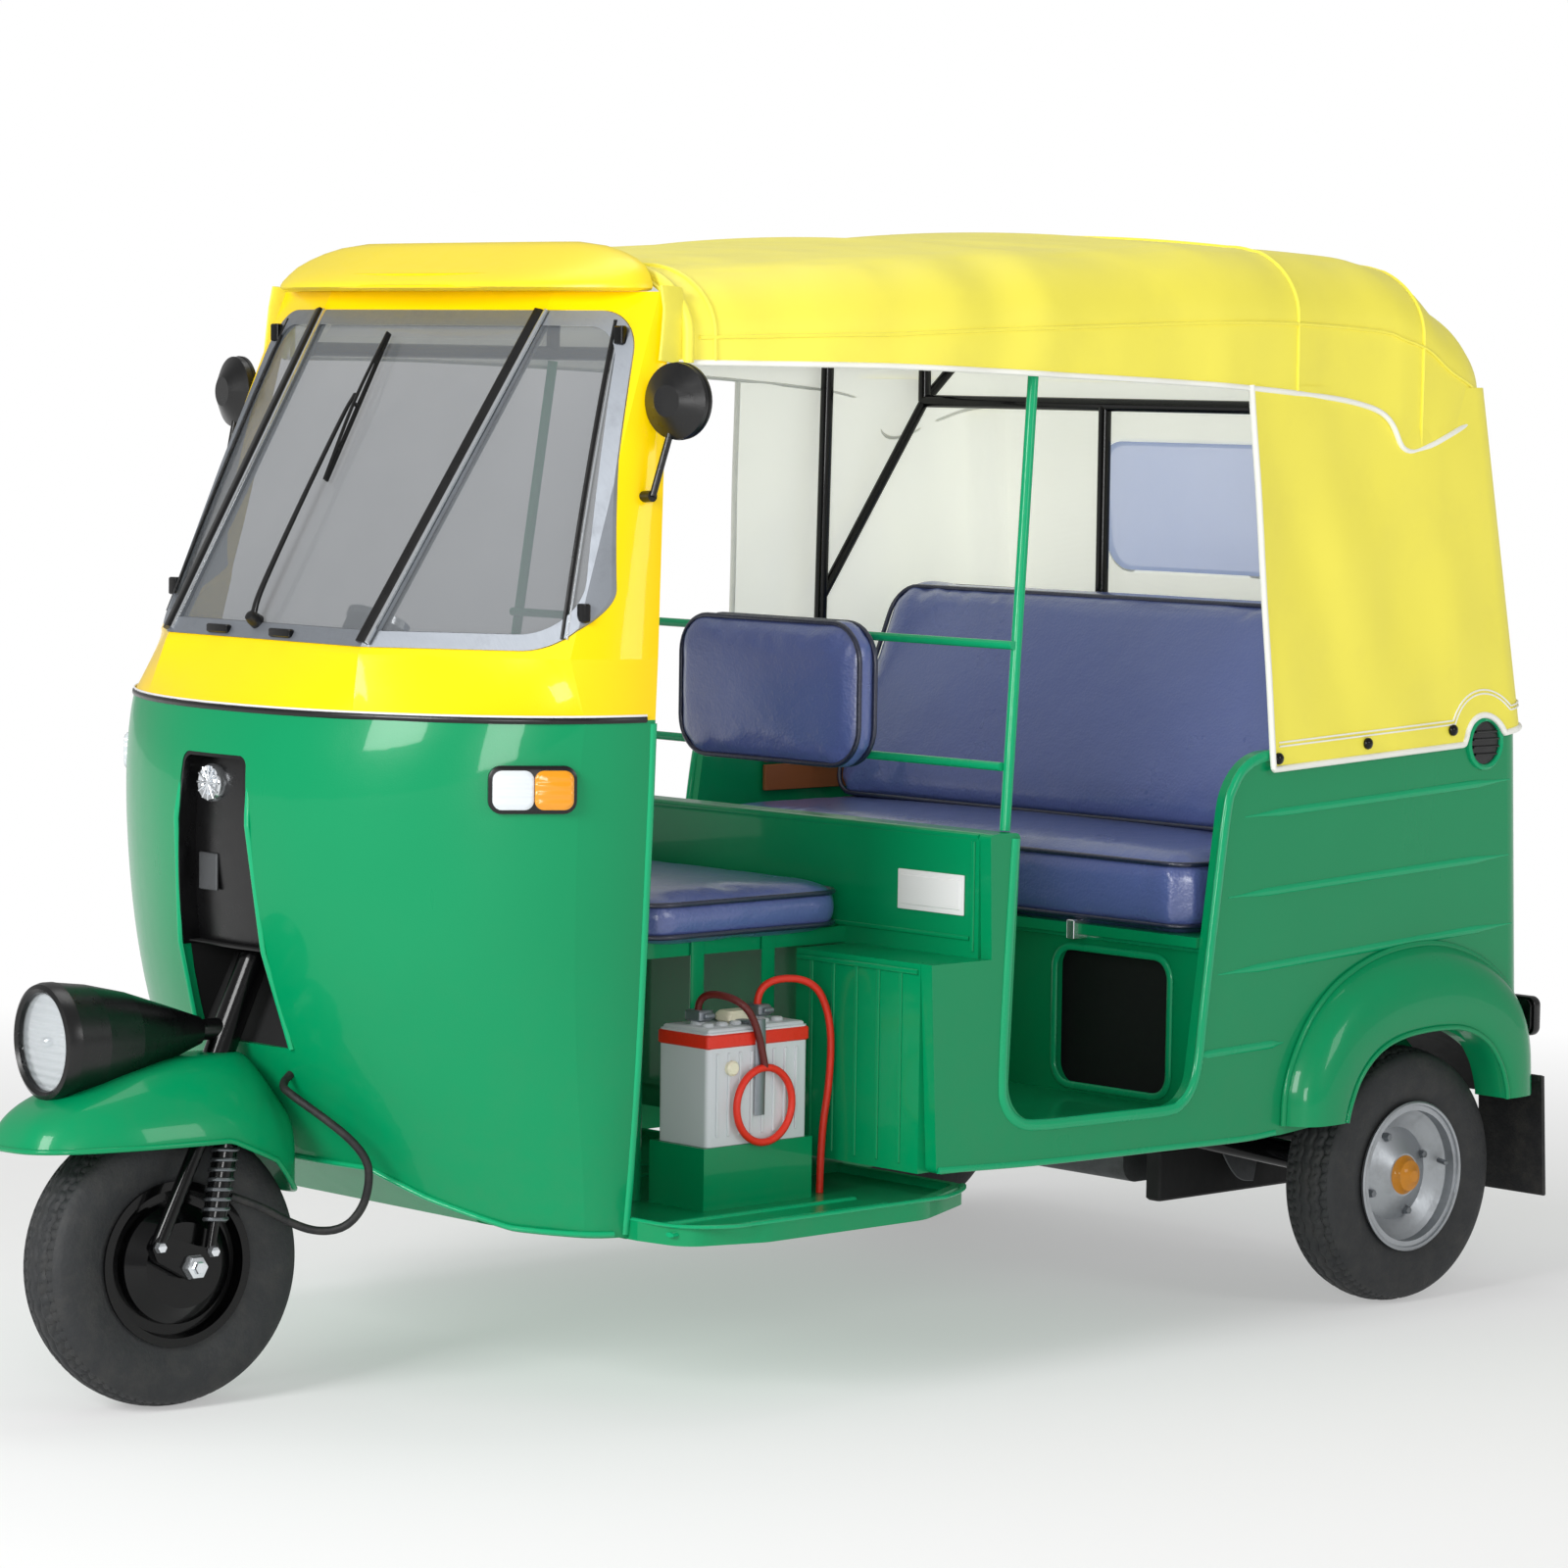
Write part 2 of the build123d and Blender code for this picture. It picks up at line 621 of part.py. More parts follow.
lead_radius = 5.5
battery_face = battery_high[0]
lead_post = (battery_low[0] + 40, battery_high[1] - 40, battery_high[2] + 24 + fit)
arch_lead = (lead_post, (lead_post[0], lead_post[1], 575), (388, -150, 578), (402, -124, 520), (404, -126, 430),
             (400, -140, 345), (400, -140.5, floor_top + fit))
ring_lead = ((battery_low[0] + 40, battery_low[1] + 40, battery_high[2] + 24 + fit),
             (battery_low[0] + 40, battery_low[1] + 40, 568), (battery_face + 2, -318, 560),
             (battery_face + 10, -292, 512), (battery_face + 10, -281, 460))
ring_centre, ring_radius = (battery_face + 10, -281.0, 406.0), 54.0
with BuildPart() as battery_leads:
    add(tube(arch_lead, [14, 20, 40, 60, 60], lead_radius))
    add(tube(ring_lead, [12, 22, 30], lead_radius))
    with Locations(Plane(origin=ring_centre, z_dir=(1, 0, 0))):
        Torus(ring_radius, lead_radius)
write(battery_leads.part, "battery_leads")

# ---- body sides --------------------------------------------------------------------------------------
# One side's outline, from the foot of the locker round: (y, z, corner radius)
side_corners = ((-100, deck_foot, 12), (640, 298, 120), (rear_axle_y + 260, body_foot, 0), (1280, body_foot, 0),
                (1280, body_top, 0), (vent_at[0], body_top, 0), (518, body_top - 14, 100), (440, 362, 56),
                (42, 370, 60), (partition_back, partition_top, 10), (0, partition_top, 8), (6, locker_top, 0),
                (locker_front, locker_top, 0))


def body_plan(height, inset):
    """The body's plan outline at one height, moved in by inset and run forward where it is."""
    half, far, corner, near = body_half_width - inset, rear_y(height) - inset, rear_corner - inset, -150 - inset
    with BuildSketch(Plane.XY.offset(height)) as face:
        with BuildLine():
            Polyline((-half, far - corner), (-half, near), (half, near), (half, far - corner))
            for sign in (1, -1):
                bend = corner * (1 - sqrt(0.5))
                ThreePointArc((sign * half, far - corner), (sign * (half - bend), far - bend),
                              (sign * (half - corner), far))
            Line((half - corner, far), (-half + corner, far))
        make_face()
    return face.sketch


def body_hull(inset=0.0):
    """The body behind the driver as a solid with rounded rear corners, moved in by inset."""
    with BuildPart() as hull:
        loft([body_plan(height, inset) for height in (body_foot - 60, body_top + 60)], ruled=True)
    return hull.part


with BuildPart() as body_side_left:
    add(body_hull())
    add(body_hull(panel), mode=Mode.SUBTRACT)
    side_face = outline(side.offset(body_half_width - rear_corner), side_corners)
    extrude(side_face, amount=rear_corner + 1, mode=Mode.INTERSECT)
    rod((body_half_width - panel, *vent_at), (body_half_width, *vent_at), vent_bump)
    rod((body_half_width - rear_corner - 1, rear_axle_y, tyre_radius), (body_half_width + 1, rear_axle_y, tyre_radius),
        arch_radius, mode=Mode.SUBTRACT)
write(body_side_left.part, "body_side_left")
write(body_side_left.part.mirror(Plane.YZ), "body_side_right")

# Ring section of the wheel arch flare: (x, radius)
flare = ((body_half_width, flare_radius), (body_half_width + 28, flare_radius - 4),
         (flare_x - 8, flare_radius - 24), (flare_x, flare_radius - 60), (flare_x + 1, arch_radius + 4),
         (flare_x - 4, arch_radius), (flare_x - 12, arch_radius + 2), (body_half_width, arch_radius + 2))
liner_inner_x, liner_wall = rear_wheel_x - 94, 8.0
liner = ((liner_inner_x, arch_radius + 2), (inside, arch_radius + 2), (inside, arch_radius + 2 + liner_wall),
         (liner_inner_x, arch_radius + 2 + liner_wall))
flare_foot = 318.0
flare_back = 1226.0

with BuildPart() as mudguards:
    with BuildSketch(Plane.XY.offset(0)) as flare_face:
        for profile in (flare, liner):
            with BuildLine():
                Polyline(*profile, close=True)
            make_face()
    revolve(axis=Axis.X, revolution_arc=360)
wheel_centre = Vector(0, rear_axle_y, tyre_radius)
with BuildPart() as left_mudguard:
    add(mudguards.part.translate(wheel_centre))
    block((400, 400, -300), (700, 1500, flare_foot), mode=Mode.SUBTRACT)
    block((400, flare_back, -300), (700, 1500, 900), mode=Mode.SUBTRACT)
with BuildPart() as both_mudguards:
    add(left_mudguard.part)
    mirror(about=Plane.YZ)
write(both_mudguards.part, "mudguards")

# ---- rear panel, engine cover, seat box --------------------------------------------------------------
cover_half, cover_low, cover_high = 380.0, 430.0, 850.0


def rear_slab(half, low, high, thickness, proud=0.0):
    """A slab of the leaning rear wall, centred in X, between two heights."""
    corners = tuple((rear_y(z) + off, z, 0) for z, off in ((low, -thickness), (low, proud), (high, proud),
                                                             (high, -thickness)))
    with BuildPart() as slab:
        extrude(outline(side.offset(-half), corners), amount=2 * half)
    return slab.part


with BuildPart() as rear_panel:
    add(rear_slab(body_half_width - rear_corner - fit, body_foot, body_top, panel))
    add(rear_slab(cover_half, cover_low, cover_high, 2 * panel, panel), mode=Mode.SUBTRACT)
write(rear_panel.part, "rear_panel")

hinge_pin_radius, hinge_x, hinge_half = 6.0, 250.0, 40.0
hinge_z = cover_high - 4
cover_hinge = (0.0, rear_y(hinge_z) + hinge_pin_radius + fit, hinge_z)
with BuildPart() as engine_cover:
    add(rear_slab(cover_half - running_gap, cover_low + running_gap, cover_high - running_gap - 8, panel, -1.0))
    for x in (-hinge_x, hinge_x):
        rod((x - hinge_half, *cover_hinge[1:]), (x + hinge_half, *cover_hinge[1:]), hinge_pin_radius)
        block((x - hinge_half, cover_hinge[1] - 10, hinge_z - 40), (x + hinge_half, cover_hinge[1] + 2, hinge_z))
write(engine_cover.part, "engine_cover")

opening_x, opening_half, opening_low, opening_high, opening_corner = 381.0, 122.0, 355.0, 572.0, 34.0
with BuildPart() as seat_box:
    block((-inside, seat_front + fit, sill_top - 37), (inside, seat_front + 16, deck_height - 16))
    block((-inside, seat_front - 26, deck_height - 16), (inside, rear_y(deck_height) - panel - 1, deck_height))
    for sign in (1, -1):
        hole = ((sign * opening_x - opening_half, opening_low, opening_corner),
                (sign * opening_x + opening_half, opening_low, opening_corner),
                (sign * opening_x + opening_half, opening_high, opening_corner),
                (sign * opening_x - opening_half, opening_high, opening_corner))
        extrude(outline(front.offset(-seat_front - 60), hole), amount=120, mode=Mode.SUBTRACT)
    add(body_hull(panel + fit), mode=Mode.INTERSECT)
write(seat_box.part, "seat_box")

cushion_half, cushion_front, cushion_back, cushion_top = body_half_width - 44, 462.0, 900.0, deck_height + 123
with BuildPart() as passenger_cushion:
    block((-cushion_half, cushion_front, deck_height + fit), (cushion_half, cushion_back, cushion_top))
    fillet(passenger_cushion.edges(), 30)
write(passenger_cushion.part, "passenger_cushion")

# Side view of the passenger backrest: (y, z, corner radius)
back_corners = ((722, cushion_top + fit, 10), (818, cushion_top + fit, 20), (972, 1075, 30), (965, 1106, 24),
                (892, 1108, 30))
back_half = body_half_width - 80
with BuildPart() as passenger_backrest:
    extrude(outline(side.offset(-back_half), back_corners), amount=2 * back_half)
write(passenger_backrest.part, "passenger_backrest")

# ---- lamps, flaps, mirrors ---------------------------------------------------------------------------
flap_x, flap_low, flap_high, flap_sheet = (512.0, 642.0), 150.0, body_foot - fit, 8.0
flap_back = rear_axle_y + flap_overhang
with BuildPart() as mud_flaps:
    for sign in (1, -1):
        low_x, high_x = sorted((sign * flap_x[0], sign * flap_x[1]))
        corners = ((flare_back + fit, flap_high, 0), (flare_back + 8, flap_high, 0), (flap_back, flap_low, 3),
                   (flap_back - flap_sheet, flap_low, 3))
        extrude(outline(side.offset(low_x), corners), amount=high_x - low_x)
write(mud_flaps.part, "mud_flaps")

lamp_near, lamp_far, lamp_low, lamp_high, lamp_deep = 562.0, 616.0, 411.0, 466.0, 22.0
with BuildPart() as left_lamp:
    block((lamp_near, flare_back + fit, lamp_low), (lamp_far, flare_back + lamp_deep, lamp_high))
    fillet(left_lamp.edges().filter_by(Axis.Y), 12)
    add(body_hull(-fit), mode=Mode.SUBTRACT)
with BuildPart() as tail_lamps:
    add(left_lamp.part)
    mirror(about=Plane.YZ)
write(tail_lamps.part, "tail_lamps")

mirror_head, mirror_radius, mirror_deep = (500.0, -523.0, 1414.0), 53.0, 32.0
mirror_foot, mirror_elbow = (472.0, -560.0, 1281.0), (487.0, -561.0, 1283.0)
mirror_way = Vector(0, -1, 0).rotate(Axis.Z, 10)
seat = (Align.CENTER, Align.CENTER, Align.MIN)
with BuildPart() as left_mirror:
    with Locations(Plane(origin=mirror_head, z_dir=mirror_way)):
        Cylinder(mirror_radius, mirror_deep * 0.4, align=seat)
    with Locations(Plane(origin=Vector(*mirror_head) + mirror_way * mirror_deep * 0.4, z_dir=mirror_way)):
        Cone(mirror_radius, 22, mirror_deep * 0.6, align=seat)
    rod((mirror_foot[0] - 12, *mirror_foot[1:]), mirror_elbow, 8.0)
    rod(mirror_elbow, (mirror_head[0] - 4, mirror_head[1] - 10, mirror_head[2] - 30), 5.0)
    add(upper_hull(-fit), mode=Mode.SUBTRACT)
with BuildPart() as side_mirrors:
    add(left_mirror.part)
    mirror(about=Plane.YZ)
write(side_mirrors.part, "side_mirrors")

indicator_x, indicator_z = 447.0, 882.0
indicator_length, indicator_height, indicator_deep = 116.0, 60.0, 11.0
indicator_section = (indicator_z, 499.5, door_edge_y, 381.0)
indicator_at = (indicator_x, nose_y(indicator_section, indicator_x), indicator_z)
indicator_way = (0.836, -0.549, 0)
with BuildPart() as left_indicator:
    with Locations(Plane(origin=indicator_at, x_dir=(0, 0, 1), z_dir=indicator_way)):
        Box(indicator_height, indicator_length, 2 * indicator_deep)
    fillet(left_indicator.faces().sort_by(Axis(indicator_at, indicator_way))[-1].edges(), 7)
    add(lower_hull(-fit), mode=Mode.SUBTRACT)
with BuildPart() as front_indicators:
    add(left_indicator.part)
    mirror(about=Plane.YZ)
write(front_indicators.part, "front_indicators")

# ---- engine and rear suspension ----------------------------------------------------------------------
engine_low, engine_high = (-rail_x + rail_half + fit, 690.0, 172.0), (rail_x - rail_half - fit, 1080.0, 520.0)
muffler_radius, muffler_at = 56.0, (1142.0, 214.0)
with BuildPart() as engine:
    block(engine_low, engine_high)
    fillet(engine.edges().filter_by(Axis.X), 30)
    rod((-190, *muffler_at), (150, *muffler_at), muffler_radius)
    rod((-60, 1060, muffler_at[1]), (-60, muffler_at[0], muffler_at[1]), 16.0)
    rod((110, *muffler_at), (110, rear_axle_y + pipe_overhang, muffler_at[1] - 10), 14.0)
write(engine.part, "engine")

arm_pivot = (640.0, 284.0)
knuckle_x, knuckle_radius = (rear_wheel_x - 148, rear_wheel_x - 72), 46.0
with BuildPart() as left_arm:
    rod((rail_x + rail_half + fit, *arm_pivot), (360, *arm_pivot), 26.0)
    rod((330, *arm_pivot), (430, rear_axle_y, tyre_radius), 22.0)
    rod((knuckle_x[0], rear_axle_y, tyre_radius), (knuckle_x[1], rear_axle_y, tyre_radius), knuckle_radius)
    rod((engine_high[0] + fit, rear_axle_y, tyre_radius), (knuckle_x[0] + 10, rear_axle_y, tyre_radius), 15.0)
    rod((knuckle_x[1] - 10, rear_axle_y, tyre_radius), (rear_wheel_x + 26, rear_axle_y, tyre_radius), axle_radius)
with BuildPart() as trailing_arms:
    add(left_arm.part)
    mirror(about=Plane.YZ)
write(trailing_arms.part, "trailing_arms")

shock_x, shock_foot, shock_head = knuckle_x[0] + 17, (900.0, 246.0), (868.0, deck_height - 17.5)
with BuildPart() as left_shock:
    rod((shock_x, *shock_foot), (shock_x, *shock_head), 9.0)
    rod((shock_x, shock_foot[0] - 4, 285), (shock_x, shock_head[0] + 8, 540), 24.0)
    add(left_arm.part, mode=Mode.SUBTRACT)
with BuildPart() as rear_shocks:
    add(left_shock.part)
    mirror(about=Plane.YZ)
write(rear_shocks.part, "rear_shocks")

# ---- wheels ------------------------------------------------------------------------------------------
tread_half, shoulder_radius = 41.0, 194.0


def tyre_at(x, y):
    """A tyre on its bead: side walls and a crowned tread turned about the axle."""
    with BuildPart() as made:
        with BuildSketch(Plane.XY) as section:
            with BuildLine():
                crown_line = ThreePointArc((tread_half, shoulder_radius), (0, tyre_radius),
                                           (-tread_half, shoulder_radius))
                for sign in (1, -1):
                    ThreePointArc((sign * 43, bead_radius + 7), (sign * tyre_half_width, 156),
                                  (sign * tread_half, shoulder_radius))
                    Line((sign * 43, bead_radius + 7), (sign * 42, bead_radius))
                Line((42, bead_radius), (-42, bead_radius))
            make_face()
        revolve(axis=Axis.X, revolution_arc=360)
    return made.part.translate((x, y, tyre_radius))


def rim_at(x, y, out):
    """A pressed rim with its hub, turned about the axle; out is the side that faces away."""
    inner = bead_radius - fit
    drum_face = -66.0 if x == 0 else knuckle_x[1] + 1.5 - rear_wheel_x
    profile = ((rim_half_width, 104), (rim_half_width, bead_radius + 6), (44.6, bead_radius + 6), (44.6, inner),
               (-44.6, inner), (-44.6, bead_radius + 6), (-rim_half_width, bead_radius + 6),
               (-rim_half_width, 104), (-30, 100), (-30, 86), (-46, 84), (drum_face, 60),
               (drum_face, axle_radius + fit), (30, axle_radius + fit), (36, 18), (34, hub_radius), (20, 58), (12, 74), (26, 96), (32, 104))
    with BuildPart() as made:
        with BuildSketch(Plane.XY) as section:
            with BuildLine():
                Polyline(*[(out * u, v) for u, v in profile], close=True)
            make_face()
        revolve(axis=Axis.X, revolution_arc=360)
    return made.part.translate((x, y, tyre_radius))


for sign, label in ((1, "left"), (-1, "right")):
    write(tyre_at(sign * rear_wheel_x, rear_axle_y), f"rear_tyre_{label}")
    write(rim_at(sign * rear_wheel_x, rear_axle_y, sign), f"rear_rim_{label}")

write(parked(tyre_at(0, front_axle_y)), "front_tyre")
write(parked(rim_at(0, front_axle_y, -1)), "front_rim")

# ---- steering, built straight ahead ------------------------------------------------------------------
fork_head, fork_foot = (fork_x, -1005.0, 398.0), (fork_x, -1088.0, 235.0)
spring_head, spring_foot = (fork_x, -965.0, 412.0), (fork_x, -1004.0, 226.0)
link_x = (74.0, 92.0)
with BuildPart() as steering_column:
    rod(axis_point(column_bottom), axis_point(column_top), column_radius)
    rod(axis_point(column_bottom + 6), fork_head, 15.0)
    rod(fork_head, fork_foot, fork_radius)
    rod(fork_head, spring_head, 10.0)
    link = ((fork_foot[1] - 12, fork_foot[2], 8), (fork_foot[1], fork_foot[2] + 18, 8), (-1000, 222, 8),
            (-990, 200, 8), (-1035, 182, 16), (fork_foot[1] - 4, fork_foot[2] - 20, 8))
    extrude(outline(side.offset(link_x[0]), link), amount=link_x[1] - link_x[0])
    rod((link_x[1], front_axle_y, tyre_radius), (-24, front_axle_y, tyre_radius), axle_radius)
    grip_back = axis_point(handlebar_at, handlebar_sweep, handlebar_half)
    bar_bend = axis_point(handlebar_at, 0, 80)
    rod(axis_point(handlebar_at, 0, -80), bar_bend, 16.0)
    for sign in (1, -1):
        rod((sign * (bar_bend[0] - 6), *bar_bend[1:]), (sign * grip_back[0], *grip_back[1:]), bar_radius)
        grip_start = tuple(a + (b - a) * 0.42 for a, b in zip(bar_bend, grip_back))
        rod((sign * grip_start[0], *grip_start[1:]), (sign * grip_back[0], *grip_back[1:]), 15.5)
    rod(axis_point(handlebar_at + 4), axis_point(handlebar_at + 60), 48.0, top_radius=44.0)
write(parked(steering_column.part), "steering_column")

with BuildPart() as front_shock:
    rod(spring_head, spring_foot, 8.0)
    way = [b - a for a, b in zip(spring_head, spring_foot)]
    rod(tuple(a + w * 0.14 for a, w in zip(spring_head, way)),
        tuple(a + w * 0.80 for a, w in zip(spring_head, way)), 17.0)
    add(steering_column.part, mode=Mode.SUBTRACT)
write(parked(front_shock.part), "front_shock")

# Plan sections of the front mudguard: (height, y of the front, y of the back, half width, y of its two shoulders)
mudguard_top = 490.0
mudguard_sections = (
    (mudguard_top - 210, -1282.0, -842.0, 124.0, -1165.0, -888.0),
    (mudguard_top - 112, -1279.0, -842.0, 122.0, -1165.0, -888.0),
    (mudguard_top - 60, -1230.0, -872.0, 104.0, -1125.0, -912.0),
    (mudguard_top - 22, -1130.0, -897.0, 74.0, -1062.0, -927.0),
    (mudguard_top, -1020.0, -910.0, 44.0, -985.0, -927.0),
)
mudguard_wall = 8.0
# its lower edge from the side, front to back: (y, z)
mudguard_hem = ((-1400, 378), (-985, 376), (-905, 340), (-862, 296), (-800, 288), (-800, 200), (-1400, 200))


def mudguard_plan(height, near, far, half, near_side, far_side, inset=0.0):
    """The front mudguard's plan outline at one height, moved in by inset."""
    near, far, half = near + inset, far - inset, half - inset
    with BuildSketch(Plane.XY.offset(height - inset)) as face:
        with BuildLine():
            ThreePointArc((-half, near_side), (0, near), (half, near_side))
            ThreePointArc((-half * 0.94, far_side), (0, far), (half * 0.94, far_side))
            for sign in (1, -1):
                ThreePointArc((sign * half, near_side), (sign * half * 1.02, (near_side + far_side) / 2),
                              (sign * half * 0.94, far_side))
        make_face()
    return face.sketch


def mudguard_hull(inset=0.0):
    """The front mudguard as a solid, moved in by inset."""
    with BuildPart() as hull:
        loft([mudguard_plan(*section, inset) for section in mudguard_sections], ruled=True)
    return hull.part


with BuildPart() as front_mudguard:
    add(mudguard_hull())
    add(mudguard_hull(mudguard_wall), mode=Mode.SUBTRACT)
    extrude(outline(side.offset(-300), tuple((y, z, 0) for y, z in mudguard_hem)), amount=600, mode=Mode.SUBTRACT)
    block((-300, -1400, 200), (300, -700, mudguard_top - 209), mode=Mode.SUBTRACT)
    rod(axis_point(column_bottom - 80), axis_point(60), column_radius + fit, mode=Mode.SUBTRACT)
write(parked(front_mudguard.part), "front_mudguard")

lamp_height, lamp_front, lamp_radius = mudguard_top + 32, -1206.0, 80.0
lens_radius = 69.0
bucket = ((lamp_front, 0), (lamp_front, lamp_radius), (lamp_front + 12, lamp_radius + 2), (lamp_front + 60, 76),
          (lamp_front + 120, 62), (lamp_front + 190, 38), (lamp_front + 240, 20), (lamp_front + 252, 0))
with BuildPart() as headlamp:
    with BuildSketch(side) as section:
        with BuildLine():
            Polyline(*[(y, lamp_height + r) for y, r in bucket], close=True)
        make_face()
    revolve(axis=Axis((0, 0, lamp_height), (0, 1, 0)), revolution_arc=360)
    with Locations(Plane(origin=(0, lamp_front, lamp_height), z_dir=(0, 1, 0))):
        Cylinder(lens_radius + fit, 8, align=(Align.CENTER, Align.CENTER, Align.MIN), mode=Mode.SUBTRACT)
    block((-26, -1130, mudguard_top - 60), (26, -1040, lamp_height - 22))
    add(mudguard_hull(-fit), mode=Mode.SUBTRACT)
    rod((0, lamp_front + 235, lamp_height), (0, lamp_front + 275, lamp_height + 1), 15.0)
    rod(axis_point(-80), axis_point(60), column_radius + fit, mode=Mode.SUBTRACT)
write(parked(headlamp.part), "headlamp")

lens_bulge = 12.0
lens_ball = (lens_radius ** 2 + lens_bulge ** 2) / (2 * lens_bulge)
with BuildPart() as headlamp_lens:
    with BuildSketch(side) as section:
        with BuildLine():
            back_y = lamp_front + 8 - fit
            Polyline((lamp_front - lens_bulge, lamp_height), (back_y, lamp_height),
                     (back_y, lamp_height + lens_radius), (lamp_front, lamp_height + lens_radius))
            bow = lens_ball - sqrt(lens_ball ** 2 - (lens_radius / 2) ** 2) - lens_bulge
            ThreePointArc((lamp_front, lamp_height + lens_radius), (lamp_front + bow, lamp_height + lens_radius / 2),
                          (lamp_front - lens_bulge, lamp_height))
        make_face()
    revolve(axis=Axis((0, 0, lamp_height), (0, 1, 0)), revolution_arc=360)
write(parked(headlamp_lens.part), "headlamp_lens")

# Brake hose, from the nose to the wheel's back plate, as it lies when parked: (x, y, z)
hose_radius = 6.0
hose_route = ((88, -873.4, 462), (91, -896, 450), (128, -900, 438), (168, -880, 412), (198, -853, 382),
              (212, -832, 350), (207, -826, 316), (196, -829, 280), (178, -846, 252), (150, -873, 246),
              (127, -905, 260), (111, -945, 286), (93.5, -980.6, 300))
hose_radii = [14, 30, 60, 50, 40, 60, 50, 40, 36, 50, 60]
with BuildPart() as brake_hose:
    add(tube(hose_route, hose_radii, hose_radius))
write(brake_hose.part, "brake_hose")
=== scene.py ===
"""Auto rickshaw: finishes, soft goods, trim and studio built round the fixed model.

Lengths in this file are millimetres until a mesh is made; +X is the vehicle's left, -Y is forward, +Z is up.
"""

import json
import logging
from dataclasses import dataclass, replace
from enum import Enum
from functools import lru_cache
from math import cos, pi, radians, sin, sqrt
from typing import Any, Sequence

import bmesh
import bpy
import numpy as np
from mathutils import Matrix

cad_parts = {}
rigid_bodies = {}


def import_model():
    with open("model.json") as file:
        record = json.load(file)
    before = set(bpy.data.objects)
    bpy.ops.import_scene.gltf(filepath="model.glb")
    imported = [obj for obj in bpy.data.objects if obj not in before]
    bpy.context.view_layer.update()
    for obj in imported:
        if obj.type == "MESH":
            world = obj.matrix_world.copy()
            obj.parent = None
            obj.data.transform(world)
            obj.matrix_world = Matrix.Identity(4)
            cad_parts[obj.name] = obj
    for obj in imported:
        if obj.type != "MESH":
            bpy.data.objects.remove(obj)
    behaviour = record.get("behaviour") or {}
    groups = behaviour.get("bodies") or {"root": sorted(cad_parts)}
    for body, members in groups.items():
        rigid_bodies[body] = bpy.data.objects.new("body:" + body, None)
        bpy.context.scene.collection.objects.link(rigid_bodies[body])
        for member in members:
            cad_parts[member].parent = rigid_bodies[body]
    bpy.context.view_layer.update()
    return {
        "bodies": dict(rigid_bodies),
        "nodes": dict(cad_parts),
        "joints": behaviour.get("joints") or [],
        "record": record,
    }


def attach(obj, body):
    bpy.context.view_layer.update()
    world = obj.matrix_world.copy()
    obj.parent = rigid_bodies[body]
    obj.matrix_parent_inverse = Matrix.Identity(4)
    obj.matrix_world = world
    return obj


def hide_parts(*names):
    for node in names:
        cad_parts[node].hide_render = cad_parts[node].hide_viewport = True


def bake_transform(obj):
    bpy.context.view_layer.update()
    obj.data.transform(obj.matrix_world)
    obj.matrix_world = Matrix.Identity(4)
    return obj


MM = 0.001
log = logging.getLogger("rickshaw")
Points = np.ndarray
Colour = tuple[int, int, int]
WHEEL_RADIUS = 203.0
LEFT, BACK, FORWARD, UP = (1, 0, 0), (0, 1, 0), (0, -1, 0), (0, 0, 1)
ASKEW = (0.31, 0.62, 0.72)  # a direction that no bar runs along
NEAR_UP = (0.31, 0.17, 0.94)  # an upward direction that no hem runs along


# ---- finishes ----------------------------------------------------------------------------------------
def linear(colour: Colour) -> tuple[float, float, float, float]:
    """A display colour of 0 to 255 as linear light with full opacity."""
    share = np.array(colour, float) / 255
    light = np.where(share <= 0.04045, share / 12.92, ((share + 0.055) / 1.055) ** 2.4)
    return (*light.tolist(), 1.0)


class Value:
    """A shader socket that takes part in Python arithmetic, each step adding one Math node."""

    def __init__(self, bench: "Bench", socket: Any) -> None:
        """Keeps the socket and the bench whose nodes it belongs to."""
        self.bench, self.socket = bench, socket

    def _math(self, operation: str, first: Any, second: Any = 0.0) -> "Value":
        """One Math node on two values."""
        return self.bench.make("Math", {0: first, 1: second}, operation=operation)

    def __add__(self, other: Any) -> "Value":
        """Sum of two values."""
        return self._math("ADD", self, other)

    def __sub__(self, other: Any) -> "Value":
        """Difference of two values."""
        return self._math("SUBTRACT", self, other)

    def __rsub__(self, other: Any) -> "Value":
        """Difference, with the number on the left."""
        return self._math("SUBTRACT", other, self)

    def __mul__(self, other: Any) -> "Value":
        """Product of two values."""
        return self._math("MULTIPLY", self, other)

    def __truediv__(self, other: Any) -> "Value":
        """Ratio of two values."""
        return self._math("DIVIDE", self, other)

    def __rtruediv__(self, other: Any) -> "Value":
        """Ratio, with the number on the left."""
        return self._math("DIVIDE", other, self)

    def least(self, other: Any) -> "Value":
        """The smaller of two values."""
        return self._math("MINIMUM", self, other)

    def most(self, other: Any) -> "Value":
        """The larger of two values."""
        return self._math("MAXIMUM", self, other)

    __radd__, __rmul__ = __add__, __mul__


